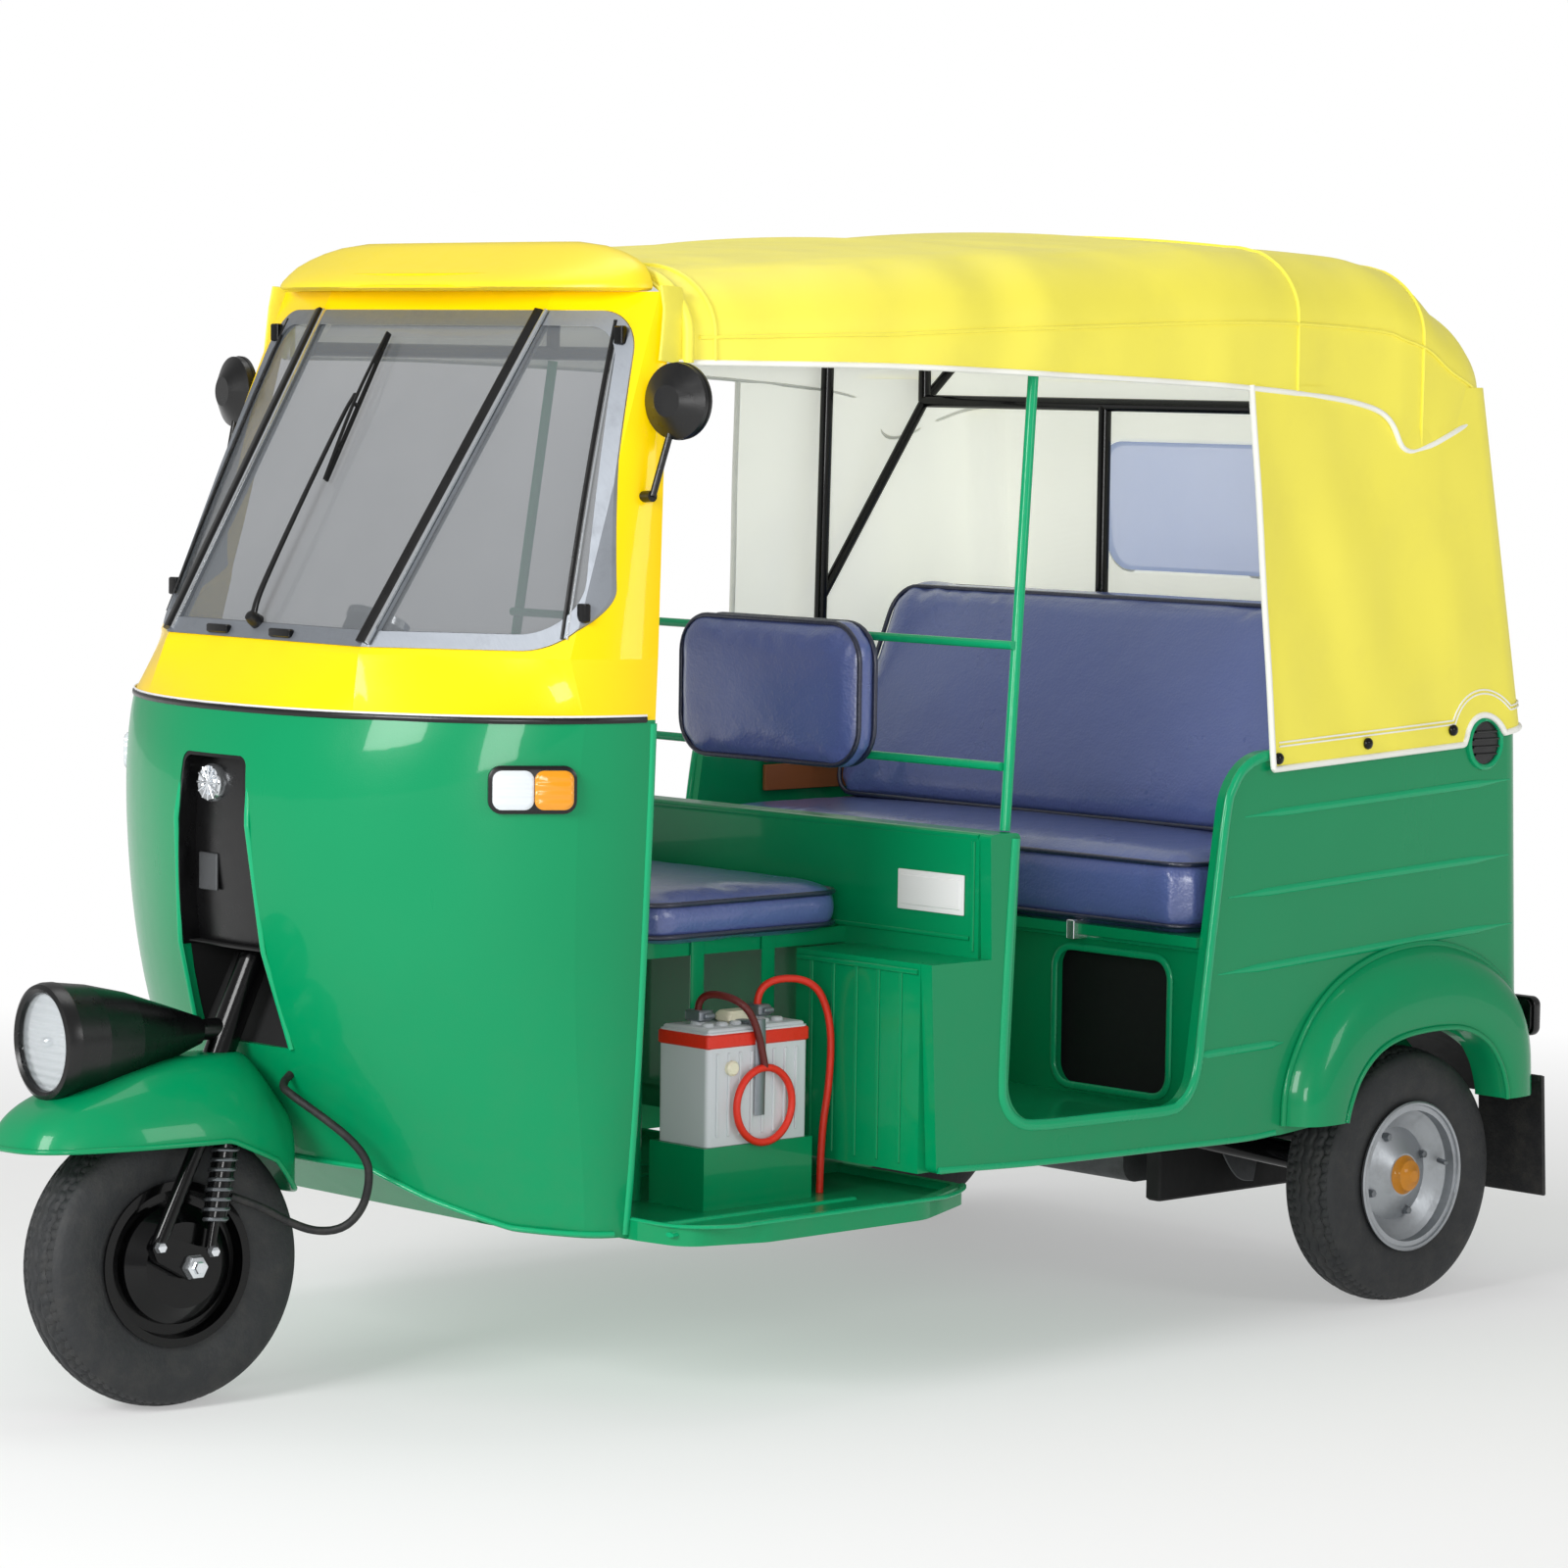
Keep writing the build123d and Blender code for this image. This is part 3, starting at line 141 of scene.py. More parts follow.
class Bench:
    """A material while its nodes are being joined up."""

    def __init__(self, name: str) -> None:
        """Starts a material with one Principled shader."""
        self.material = bpy.data.materials.new(name)
        self.material.use_nodes = True
        self.tree = self.material.node_tree
        self.tree.nodes.clear()
        self.shader = self.tree.nodes.new("ShaderNodeBsdfPrincipled")
        self.output = self.tree.nodes.new("ShaderNodeOutputMaterial")
        self.tree.links.new(self.shader.outputs[0], self.output.inputs[0])

    def put(self, socket: Any, value: Any) -> None:
        """Links a value to a socket, or sets a constant on it."""
        if isinstance(value, Value):
            self.tree.links.new(value.socket, socket)
        else:
            socket.default_value = value

    def make(self, kind: str, values: dict | None = None, out: Any = 0, **settings: Any) -> Value:
        """Adds a node.

        Args:
            kind: the node's type without its ShaderNode prefix.
            values: constants or links for its inputs, by name or number.
            out: the output wanted, by name or number.
            settings: properties of the node, set first.
        Returns:
            The wanted output.
        """
        node = self.tree.nodes.new("ShaderNode" + kind)
        for key, setting in settings.items():
            setattr(node, key, setting)
        for key, value in (values or {}).items():
            self.put(node.inputs[key], value)
        return Value(self, node.outputs[out])

    def coordinates(self, stretch: Sequence[float] = (1, 1, 1)) -> Value:
        """Object coordinates, stretched along the axes."""
        values = {"Vector": self.make("TexCoord", out="Object"), "Scale": tuple(stretch)}
        return self.make("Mapping", values, vector_type="POINT")

    def noise(self, scale: float, detail: float = 3.0, stretch: Sequence[float] = (1, 1, 1),
              rough: float = 0.55) -> Value:
        """Cloudy noise from 0 to 1."""
        return self.make("TexNoise", {"Vector": self.coordinates(stretch), "Scale": scale, "Detail": detail,
                                      "Roughness": rough})

    def grime(self, scale: float, spared: float, rough: float = 0.7) -> Value:
        """Patches of dirt: how far cloudy noise rises above a level, or 0."""
        return (self.noise(scale, 6.0, rough=rough) - spared).most(0.0)

    def height(self) -> Value:
        """Height above the ground in metres."""
        return self.make("SeparateXYZ", {0: self.make("TexCoord", out="Object")}, out="Z")

    def blend(self, amount: Any, first: Any, second: Any) -> Value:
        """A colour between two, by an amount from 0 to 1."""
        return self.make("Mix", {0: amount, 6: first, 7: second}, out=2, data_type="RGBA")

    def bump(self, relief: Value, depth: float, strength: float = 1.0, under: Value | None = None) -> Value:
        """A normal raised by a relief of 0 to 1, depth in metres, over another normal."""
        values = {"Height": relief, "Distance": depth, "Strength": strength}
        if under is not None:
            values["Normal"] = under
        return self.make("Bump", values)

    def dress(self, **values: Any) -> None:
        """Sets or links the shader's inputs, named with underscores for spaces."""
        for key, value in values.items():
            self.put(self.shader.inputs[key.replace("_", " ")], value)


class Surface(Enum):
    """The kinds of surface that a finish may be."""

    PAINT = "paint"
    CLOTH = "coated cloth"
    VINYL = "seat vinyl"
    RUBBER = "rubber"
    METAL = "metal"
    PLASTIC = "moulded plastic"
    GLASS = "glass"
    LENS = "lamp lens"


@dataclass(frozen=True)
class Finish:
    """A finish: its kind, its colour, and how rough, worn and clear it is."""

    name: str
    kind: Surface
    colour: Colour
    rough: float = 0.3
    wear: float = 1.0
    clear: float = 1.0
    grain: float = 1.0
    glow: float = 0.0

    def tones(self, bench: Bench, spread: float) -> Value:
        """The colour, drifting softly darker and lighter over the surface by a share."""
        base = np.array(linear(self.colour))
        dark, light = base * (1 - spread), np.minimum(base * (1 + spread), 1)
        dark[3] = light[3] = 1
        return bench.blend(bench.noise(2.4, 3.0), tuple(dark.tolist()), tuple(light.tolist()))

    def paint(self, bench: Bench) -> None:
        """Sprayed enamel: a fine orange peel under a coat, with road dust that thins out upwards."""
        dust = bench.grime(16.0, 0.42) * (0.75 - bench.height()).most(0.0)
        dust = (dust * self.wear).least(0.3)
        streaks = bench.noise(7.0, 4.0, (1, 1, 0.25))
        bench.dress(Base_Color=bench.blend(dust, self.tones(bench, 0.07), linear((96, 104, 84))),
                    Roughness=(streaks * 0.14 + (self.rough - 0.07)) + dust * 0.5,
                    Coat_Weight=0.3, Coat_Roughness=0.05, Specular_IOR_Level=0.15,
                    Normal=bench.bump(bench.noise(420.0, 2.0), 0.00035, 0.35,
                                      bench.bump(bench.noise(5.0, 2.0), 0.004, 0.25)))

    def cloth(self, bench: Bench) -> None:
        """Coated canopy cloth: a square weave under soft wrinkles that pull down its sides."""
        weave = bench.make("TexWave", {"Vector": bench.coordinates(), "Scale": 240.0}, bands_direction="Y") \
            + bench.make("TexWave", {"Vector": bench.coordinates(), "Scale": 240.0}, bands_direction="Z")
        folds = bench.noise(3.4, 1.6, (1.0, 1.3, 0.7), 0.45)
        soil = bench.grime(9.0, 0.5, 0.68) * (0.4 * self.wear)
        creases = bench.bump(folds, 0.04, 0.6)
        bench.dress(Base_Color=bench.blend(soil, self.tones(bench, 0.03), linear((206, 192, 84))),
                    Roughness=bench.noise(12.0, 3.0) * 0.2 + (self.rough - 0.1), Sheen_Weight=0.08,
                    Normal=bench.bump(weave, 0.0003, 0.3 * self.grain, creases))

    def vinyl(self, bench: Bench) -> None:
        """Seat vinyl: pebbled grain, small pulls and creases, and shiny places where it is sat on."""
        pebble = bench.make("TexVoronoi", {"Vector": bench.coordinates(), "Scale": 210.0}, feature="F1")
        pulls = bench.noise(15.0, 6.0, (1.0, 1.0, 1.3), 0.6)
        worn = bench.noise(6.0, 4.0)
        bench.dress(Base_Color=self.tones(bench, 0.16), Roughness=worn * 0.22 + (self.rough - 0.11),
                    Coat_Weight=0.7, Coat_Roughness=0.2,
                    Normal=bench.bump(pebble, 0.0009, 0.5 * self.grain, bench.bump(pulls, 0.009, 0.5)))

    def rubber(self, bench: Bench) -> None:
        """Rubber: near black, dusty in patches, with a fine dull grain."""
        dust = bench.grime(26.0, 0.45) * (0.8 * self.wear)
        bench.dress(Base_Color=bench.blend(dust, self.tones(bench, 0.2), linear((118, 112, 100))),
                    Roughness=bench.noise(30.0, 4.0) * 0.24 + (self.rough - 0.12),
                    Normal=bench.bump(bench.noise(150.0, 5.0), 0.0014, 0.7))

    def metal(self, bench: Bench) -> None:
        """Metal: fine drawn scratches, cloudy polish and a little grime."""
        scratches = bench.noise(60.0, 5.0, (1.0, 9.0, 1.0))
        grime = bench.grime(20.0, 0.5) * self.wear
        bench.dress(Base_Color=bench.blend(grime, self.tones(bench, 0.06), linear((70, 64, 58))), Metallic=0.9,
                    Roughness=scratches * 0.2 + (self.rough - 0.1) + grime * 0.5,
                    Normal=bench.bump(scratches, 0.0004, 0.25))

    def plastic(self, bench: Bench) -> None:
        """Moulded plastic: a spark-eroded grain with faint scuffs."""
        scuffs = bench.noise(34.0, 6.0, (1.0, 2.0, 1.0), 0.65)
        bench.dress(Base_Color=self.tones(bench, 0.12), Roughness=scuffs * 0.24 + (self.rough - 0.12),
                    Normal=bench.bump(bench.noise(520.0, 2.0), 0.0003, 0.35 * self.grain))

    def glass(self, bench: Bench) -> None:
        """Glazing: clear with a tint, a faint film, more opaque towards the foot, and faint wipes."""
        film = bench.noise(5.0, 5.0, (1.0, 1.0, 0.4))
        low = (1.62 - bench.height()).least(0.6).most(0.0)
        bench.dress(Base_Color=self.tones(bench, 0.1), Roughness=film * 0.08 + self.rough,
                    Alpha=(low * 0.22 + film * 0.1 + self.clear).least(1.0), Specular_IOR_Level=0.8,
                    Normal=bench.bump(bench.noise(1.6, 2.0), 0.004, 0.1))

    def lens(self, bench: Bench) -> None:
        """Lamp lens: coloured acrylic with moulded flutes under a polished face."""
        flutes = bench.make("TexWave", {"Vector": bench.coordinates(), "Scale": 26.0}, bands_direction="Z")
        bench.dress(Base_Color=self.tones(bench, 0.1), Roughness=bench.noise(30.0, 3.0) * 0.06 + self.rough,
                    Coat_Weight=0.6, Alpha=self.clear,
                    Normal=bench.bump(flutes, 0.0016, 0.6 * self.grain))


@lru_cache(maxsize=None)
def material(finish: Finish) -> Any:
    """The Blender material of a finish, made once."""
    bench = Bench(finish.name)
    makers = {Surface.PAINT: finish.paint, Surface.CLOTH: finish.cloth, Surface.VINYL: finish.vinyl,
              Surface.RUBBER: finish.rubber, Surface.METAL: finish.metal, Surface.PLASTIC: finish.plastic,
              Surface.GLASS: finish.glass, Surface.LENS: finish.lens}
    makers[finish.kind](bench)
    # A finish's glow is painted light: an emission on parts that are no lamps.
    if finish.glow:
        bench.dress(Emission_Color=linear(finish.colour), Emission_Strength=finish.glow)
    return bench.material


GREEN = Finish("green_enamel", Surface.PAINT, (0, 138, 86), 0.3, 0.5)
# A lighter copy of the green enamel for beads, ribs, louvres and rails: a painted highlight where raised edges
# catch the light.
GREEN_HIGHLIGHT = Finish("green_enamel_painted_highlight", Surface.PAINT, (14, 160, 106), 0.26, 0.5)
YELLOW = Finish("yellow_enamel", Surface.PAINT, (250, 210, 0), 0.32, 0.3)
VISOR = Finish("yellow_visor", Surface.PLASTIC, (240, 216, 36), 0.34)
CANOPY = Finish("yellow_canopy_cloth", Surface.CLOTH, (246, 234, 80), 0.46)
# The cream lining glows though it is no lamp: painted light that brightens the inside of the canopy.
GLOWING_LINING = Finish("cream_canopy_lining_painted_glow", Surface.CLOTH, (236, 237, 228), 0.6, 0.3, glow=0.42)
PIPING = Finish("white_piping", Surface.CLOTH, (240, 240, 232), 0.5, 0.3, grain=0.4)
SEAT = Finish("blue_seat_vinyl", Surface.VINYL, (86, 100, 158), 0.3)
SEAT_DARK = Finish("navy_seat_piping", Surface.VINYL, (22, 28, 58), 0.45)
TYRE = Finish("tyre_rubber", Surface.RUBBER, (33, 35, 37), 0.66, 0.35)
FLAP = Finish("flap_rubber", Surface.RUBBER, (12, 13, 15), 0.6, 0.5)
BLACK = Finish("black_enamel", Surface.PAINT, (5, 5, 6), 0.2, 0.06)
BLACK_PLASTIC = Finish("black_moulded_plastic", Surface.PLASTIC, (8, 8, 9), 0.3)
# Dull black for the boxes and sheets set in recesses, inside arches and under the body: painted shade.
SHADOW = Finish("painted_shade_black", Surface.PLASTIC, (7, 7, 8), 0.7)
ALUMINIUM = Finish("bare_aluminium", Surface.METAL, (150, 155, 162), 0.52, 0.6)
CHROME = Finish("polished_chrome", Surface.METAL, (222, 226, 230), 0.14, 0.2)
RIM = Finish("silver_rim", Surface.METAL, (170, 174, 178), 0.42, 0.9)
CAST = Finish("cast_metal", Surface.METAL, (96, 98, 100), 0.55, 1.2)
SPRING = Finish("spring_steel", Surface.METAL, (120, 124, 128), 0.35, 0.8)
HUB = Finish("orange_hub_enamel", Surface.PAINT, (196, 128, 34), 0.5, 2.0)
SCREEN = Finish("windscreen_glass", Surface.GLASS, (112, 116, 120), 0.06, clear=0.46)
# The rear window film glows though it is no lamp: painted light, as if lit from behind.
GLOWING_WINDOW = Finish("rear_window_film_painted_glow", Surface.GLASS, (168, 182, 214), 0.2, clear=0.42, glow=0.3)
LAMP_GLASS = Finish("headlamp_glass", Surface.LENS, (206, 212, 214), 0.05, clear=0.32)
RED_LENS = Finish("red_lens", Surface.LENS, (150, 12, 10), 0.12)
CLEAR_LENS = Finish("clear_lens", Surface.LENS, (216, 222, 226), 0.1)
AMBER_LENS = Finish("amber_lens", Surface.LENS, (226, 146, 4), 0.12)
CASE = Finish("grey_battery_case", Surface.PLASTIC, (206, 210, 214), 0.36)
RED_RUBBER = Finish("red_lead_sleeve", Surface.RUBBER, (226, 42, 16), 0.5, 0.2)
DARK_LEAD = Finish("dark_red_lead", Surface.RUBBER, (96, 18, 14), 0.45, 0.2)
CREAM = Finish("cream_plastic", Surface.PLASTIC, (232, 226, 200), 0.4)
PLATE = Finish("blank_white_plate", Surface.PAINT, (228, 228, 228), 0.4, 0.3)
BROWN = Finish("brown_board", Surface.PAINT, (150, 90, 56), 0.5, 0.6)


# ---- meshes ------------------------------------------------------------------------------------------
def add(name: str, data: Any) -> Any:
    """A new object of this name in the scene."""
    made = bpy.data.objects.new(name, data)
    bpy.context.scene.collection.objects.link(made)
    return made


def evaluated(made: Any) -> Any:
    """A mesh of an object as its modifiers leave it."""
    return bpy.data.meshes.new_from_object(made.evaluated_get(bpy.context.evaluated_depsgraph_get()))


def rows_of(items: Any, key: str) -> Points:
    """Three numbers of each point or face of a mesh, such as its place or its normal."""
    values = np.zeros(len(items) * 3)
    items.foreach_get(key, values)
    return values.reshape(-1, 3)


def quads(index: Points) -> Points:
    """The quads of a grid of point numbers."""
    return np.stack([index[:-1, :-1], index[1:, :-1], index[1:, 1:], index[:-1, 1:]], -1).reshape(-1, 4)


@dataclass(frozen=True)
class Patch:
    """A grid of points, joined into quads; it may loop either way and have its two ends capped."""

    points: Points
    loop_rows: bool = False
    loop_cols: bool = True
    capped: bool = True

    def faces(self, start: int) -> list:
        """The grid's faces, with point numbers counted from start."""
        rows, cols = self.points.shape[:2]
        index = np.arange(rows * cols).reshape(rows, cols) + start
        ends = [index[0].tolist(), index[-1][::-1].tolist()] if self.capped and not self.loop_rows else []
        if self.loop_rows:
            index = np.vstack([index, index[:1]])
        if self.loop_cols:
            index = np.hstack([index, index[:, :1]])
        return quads(index).tolist() + ends

    def mirrored(self) -> "Patch":
        """The same patch on the other side of the vehicle."""
        return replace(self, points=self.points * np.array((-1.0, 1.0, 1.0)))


@dataclass(frozen=True)
class Shell(Patch):
    """An open sheet given a thickness: its outer grid, the same grid moved along the normals, and a rim."""

    def faces(self, start: int) -> list:
        """Outer faces, inner faces and the strips round the rim: four, or two where the columns loop."""
        rows, cols = self.points.shape[:2]
        rows //= 2
        outer = np.arange(rows * cols).reshape(rows, cols) + start
        inner = outer + rows * cols

        def border(index: Points) -> Points:
            """Point numbers round the edge of a grid."""
            return np.concatenate([index[0, :-1], index[:-1, -1], index[-1, :0:-1], index[:0:-1, 0]])

        edges = [(border(outer), border(inner))]
        if self.loop_cols:
            edges = [(outer[k], inner[k]) for k in (0, -1)]
            outer, inner = np.hstack([outer, outer[:, :1]]), np.hstack([inner, inner[:, :1]])
        rims = [np.stack([edge, np.roll(edge, -1), np.roll(back, -1), back], -1) for edge, back in edges]
        return np.concatenate([quads(outer), quads(inner)[:, ::-1], *rims]).tolist()


def unit(vectors: Points) -> Points:
    """Vectors divided by their lengths."""
    return vectors / np.maximum(np.linalg.norm(vectors, axis=-1, keepdims=True), 1e-9)


def normals(grid: Points) -> Points:
    """Normals of a grid: the cross product of its slopes along rows and along columns."""
    return unit(np.cross(np.gradient(grid, axis=0), np.gradient(grid, axis=1)))


def sheet_shell(grid: Points, thickness: float, loop: bool = False) -> Shell:
    """A shell whose inner face lies a thickness along the grid's normals from its outer face; with loop,
    its last column joins its first."""
    around = normals(np.concatenate([grid[:, -1:], grid, grid[:, :1]], 1))[:, 1:-1] if loop else normals(grid)
    return Shell(np.concatenate([grid, grid + around * thickness]), loop_cols=loop)


def even(points: Sequence, count: int, closed: bool = False) -> Points:
    """Points at even steps of length along straight runs."""
    given = np.array(points, float)
    if closed:
        given = np.vstack([given, given[:1]])
    along = np.concatenate([[0.0], np.cumsum(np.linalg.norm(np.diff(given, axis=0), axis=1))])
    at = np.linspace(0, along[-1], count, endpoint=not closed)
    return np.stack([np.interp(at, along, given[:, k]) for k in range(given.shape[1])], -1)


def spline(points: Sequence, count: int) -> Points:
    """A smooth line through points: cubics whose slope at a point is half the chord of its neighbours."""
    given = np.array(points, float)
    given = np.vstack([2 * given[:1] - given[1:2], given, 2 * given[-1:] - given[-2:-1]])
    spans = len(given) - 3
    along = np.linspace(0, spans, count)
    at = np.minimum(along.astype(int), spans - 1)
    u = (along - at)[:, None]
    a, b, c, d = given[at], given[at + 1], given[at + 2], given[at + 3]
    return 0.5 * (2 * b + (c - a) * u + (2 * a - 5 * b + 4 * c - d) * u ** 2 + (3 * b - a - 3 * c + d) * u ** 3)


def ring(width: float, height: float, count: int = 12, power: float = 1.0) -> Points:
    """An oval section: cosine and sine of the angle, each raised to a power, times half the sizes."""
    angle = np.linspace(0, 2 * pi, count, endpoint=False)
    wave = np.stack([np.cos(angle), np.sin(angle)], -1)
    return np.sign(wave) * np.abs(wave) ** power * np.array((width / 2, height / 2))


def sweep(path: Points, section: Points, up: Sequence[float], closed: bool = False,
          taper: Points | None = None) -> Patch:
    """A section carried along a path.

    Args:
        path: points along the middle line.
        section: the section as (across, up) pairs.
        up: the direction that the section's second number follows.
        closed: joins the last station to the first.
        taper: one size factor for each station.
    Returns:
        The swept patch: each station is the path point plus across times the side direction plus up
        times the direction square to both.
    """
    path = np.array(path, float)
    way = np.roll(path, -1, 0) - np.roll(path, 1, 0) if closed else np.gradient(path, axis=0)
    way = unit(way)
    across = unit(np.cross(way, np.broadcast_to(np.array(up, float), way.shape)))
    square = np.cross(across, way)
    factor = np.ones(len(path)) if taper is None else np.array(taper, float)
    grid = path[:, None] + factor[:, None, None] * (section[None, :, :1] * across[:, None]
                                                    + section[None, :, 1:] * square[:, None])
    return Patch(grid, loop_rows=closed)


def straight(start: Sequence[float], end: Sequence[float], steps: int = 2) -> Points:
    """Points along a straight line."""
    return np.linspace(np.array(start, float), np.array(end, float), steps)


def bar(start: Sequence[float], end: Sequence[float], section: Points, up: Sequence[float],
        steps: int = 3) -> Patch:
    """A section carried along a straight line."""
    return sweep(straight(start, end, steps), section, up)


def hoop(outline: Points, count: int, section: Points, up: Sequence[float]) -> Patch:
    """A section carried round a closed outline, at even steps."""
    return sweep(even(outline, count, True), section, up, closed=True)


def rod(start: Sequence[float], end: Sequence[float], radius: float) -> Patch:
    """A round bar with eased ends."""
    path = straight(start, end)
    way = unit(path[1] - path[0]) * min(radius * 0.25, np.linalg.norm(path[1] - path[0]) / 4)
    path = np.array([path[0], path[0] + way, path[1] - way, path[1]])
    eased = radius - np.linalg.norm(way)
    size = np.array([eased, radius, radius, eased])
    return sweep(path, ring(2, 2, 24), np.cross(way, ASKEW), taper=np.maximum(size, 0.2))


def lathe(profile: Sequence, origin: Sequence[float], axis: Sequence[float], count: int = 48,
          hollow: bool = False) -> Patch:
    """A profile of (along, radius) pairs turned round an axis: along times the axis plus radius times
    cosine and sine in the plane square to it. A hollow one joins its last pair to its first."""
    shape = np.array(profile, float)
    way = unit(np.array(axis, float))
    side = unit(np.cross(way, (0.0, 0.0, 1.0) if abs(way[2]) < 0.9 else (1.0, 0.0, 0.0)))
    lift = np.cross(way, side)
    angle = np.linspace(0, 2 * pi, count, endpoint=False)
    turn = np.cos(angle)[:, None] * side + np.sin(angle)[:, None] * lift
    grid = np.array(origin, float) + shape[:, None, :1] * way + shape[:, None, 1:] * turn[None]
    return Patch(grid, loop_rows=hollow)


def four_corners(corner: Points) -> Points:
    """An outline from the arc of its first corner, mirrored into the other three."""
    return np.concatenate([corner, corner[::-1] * (-1, 1), corner * (-1, -1), corner[::-1] * (1, -1)])


def slab(low: Sequence[float], high: Sequence[float], edge: float = 2.0) -> Patch:
    """A block with eased corners: rounded rectangles stacked in height, the first and last drawn in."""
    low, high = np.array(low, float), np.array(high, float)
    half, middle = (high - low) / 2, (high + low) / 2
    edge = min(edge, half.min() * 0.9)
    angle = np.linspace(0, pi / 2, 5)
    corner = np.stack([np.cos(angle), np.sin(angle)], -1) * edge + (half[:2] - edge)
    plan = four_corners(corner)
    inner = plan * ((half[:2] - edge * 0.6) / half[:2])
    layers = [(inner, -half[2]), (plan, -half[2] + edge * 0.6), (plan, half[2] - edge * 0.6), (inner, half[2])]
    grid = np.array([np.column_stack([at, np.full(len(at), z)]) for at, z in layers]) + middle
    return Patch(grid)


def both(*patches: Patch) -> list[Patch]:
    """Patches and their mirror images."""
    return [*patches, *(patch.mirrored() for patch in patches)]


def build(name: str, patches: Sequence[Patch], sharp: float = 38.0, doubles: float = 0.01) -> Any:
    """A mesh object from patches in millimetres, its doubles merged and its faces turned outwards.

    Args:
        name: the piece's name.
        patches: what it is made of.
        sharp: edges that turn more than this many degrees stay crisp.
        doubles: points nearer than this many millimetres are merged.
    Returns:
        The object, at the origin.
    """
    faces: list = []
    start = 0
    for patch in patches:
        faces += patch.faces(start)
        start += patch.points.shape[0] * patch.points.shape[1]
    points = np.concatenate([patch.points.reshape(-1, 3) for patch in patches]) * MM
    mesh = bpy.data.meshes.new(name)
    mesh.from_pydata(points.tolist(), [], faces)
    edit = bmesh.new()
    edit.from_mesh(mesh)
    bmesh.ops.remove_doubles(edit, verts=edit.verts, dist=doubles * MM)
    bmesh.ops.dissolve_degenerate(edit, dist=doubles * MM * 0.1, edges=edit.edges)
    bmesh.ops.recalc_face_normals(edit, faces=edit.faces)
    edit.to_mesh(mesh)
    edit.free()
    mesh.polygons.foreach_set("use_smooth", np.ones(len(mesh.polygons), bool))
    mesh.set_sharp_from_angle(angle=radians(sharp))
    return add(name, mesh)


def place(made: Any, body: str, slot: str, *finishes: Finish, stands_for: Sequence[str] = ()) -> Any:
    """Gives a piece its finishes, its body and the nodes that it stands for; its slot is not used."""
    for finish in finishes:
        made.data.materials.append(material(finish))
    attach(made, body)
    if stands_for:
        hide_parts(*stands_for)
    log.info("%s: %d faces on %s", made.name, len(made.data.polygons), body)
    return made


def carve(made: Any, cutter: Any) -> None:
    """Cuts one mesh out of another, and removes the cutter."""
    modifier = made.modifiers.new("cut", "BOOLEAN")
    modifier.object, modifier.operation, modifier.solver = cutter, "DIFFERENCE", "EXACT"
    cut = evaluated(made)
    made.modifiers.clear()
    made.data = cut
    bpy.data.objects.remove(cutter)


def rounded_rectangle(half: float, low: float, high: float, corner: float, steps: int = 8) -> Points:
    """The outline of a rounded rectangle in (x, z)."""
    angle = np.linspace(0, pi / 2, steps)
    arc = np.stack([np.cos(angle), np.sin(angle)], -1) * corner
    middle = np.array((half - corner, (high - low) / 2 - corner))
    return four_corners(arc + middle) + (0, (low + high) / 2)


# ---- frame of the vehicle ------------------------------------------------------------------------------
class Body(str, Enum):
    """The bodies that pieces ride on."""

    CHASSIS = "chassis"
    COVER = "engine_cover"
    STEERING = "steering"
    FRONT = "front_wheel"
    LEFT = "rear_wheel_left"
    RIGHT = "rear_wheel_right"


@dataclass(frozen=True)
class SteeringAxis:
    """The steering axis, and the turn that the vehicle is parked at."""

    foot: tuple[float, float, float] = (0.0, -920.0, 516.0)
    rake: float = 25.0
    parked: float = 7.0

    def way(self) -> Points:
        """The axis pointing up and back."""
        return np.array((0.0, sin(radians(self.rake)), cos(radians(self.rake))))

    def turned(self, patches: Sequence[Patch]) -> list[Patch]:
        """Patches turned from straight ahead to the parked angle: each point's part along the axis
        stays, and the rest turns by the cosine and the sine of the angle."""
        return [replace(patch, points=self.turn(patch.points)) for patch in patches]

    def turn(self, points: Points) -> Points:
        """Points turned from straight ahead to the parked angle."""
        foot, way, angle = np.array(self.foot), self.way(), radians(-self.parked)
        arm = np.array(points, float) - foot
        along = (arm @ way)[..., None] * way
        return foot + along + (arm - along) * cos(angle) + np.cross(way, arm) * sin(angle)

    def point(self, along: float, back: float = 0.0, x: float = 0.0) -> Points:
        """A point along the axis, square behind it and across, with the steering straight."""
        way = self.way()
        square = np.array((0.0, way[2], -way[1]))
        at = np.array(self.foot) + way * along + square * back
        return np.array((x, at[1], at[2]))


AXIS = SteeringAxis()


NODES_BY_FINISH = {
    GREEN: ("front_cowl", "floor_pan", "bulkhead", "body_side_left", "body_side_right", "rear_panel",
            "engine_cover", "seat_box"),
    GREEN_HIGHLIGHT: ("grab_rails",),
    YELLOW: ("cowl_upper",),
    ALUMINIUM: ("windscreen_frame",),
    SCREEN: ("windscreen_glass",),
    GLOWING_WINDOW: ("rear_window",),
    CASE: ("battery",),
    BLACK_PLASTIC: ("column_shroud", "tail_lamps", "side_mirrors", "headlamp"),
    BLACK: ("canopy_frame", "trailing_arms", "rear_shocks", "front_rim", "steering_column", "front_shock"),
    RIM: ("rear_rim_left", "rear_rim_right"),
    FLAP: ("mud_flaps",),
    CAST: ("engine",),
}


def dress_nodes(nodes: dict[str, Any]) -> None:
    """Puts each carried node's finish on it."""
    for finish, names in NODES_BY_FINISH.items():
        for name in names:
            materials = nodes[name].data.materials
            materials.clear()
            materials.append(material(finish))
        log.info("%s on %s", finish.name, ", ".join(names))


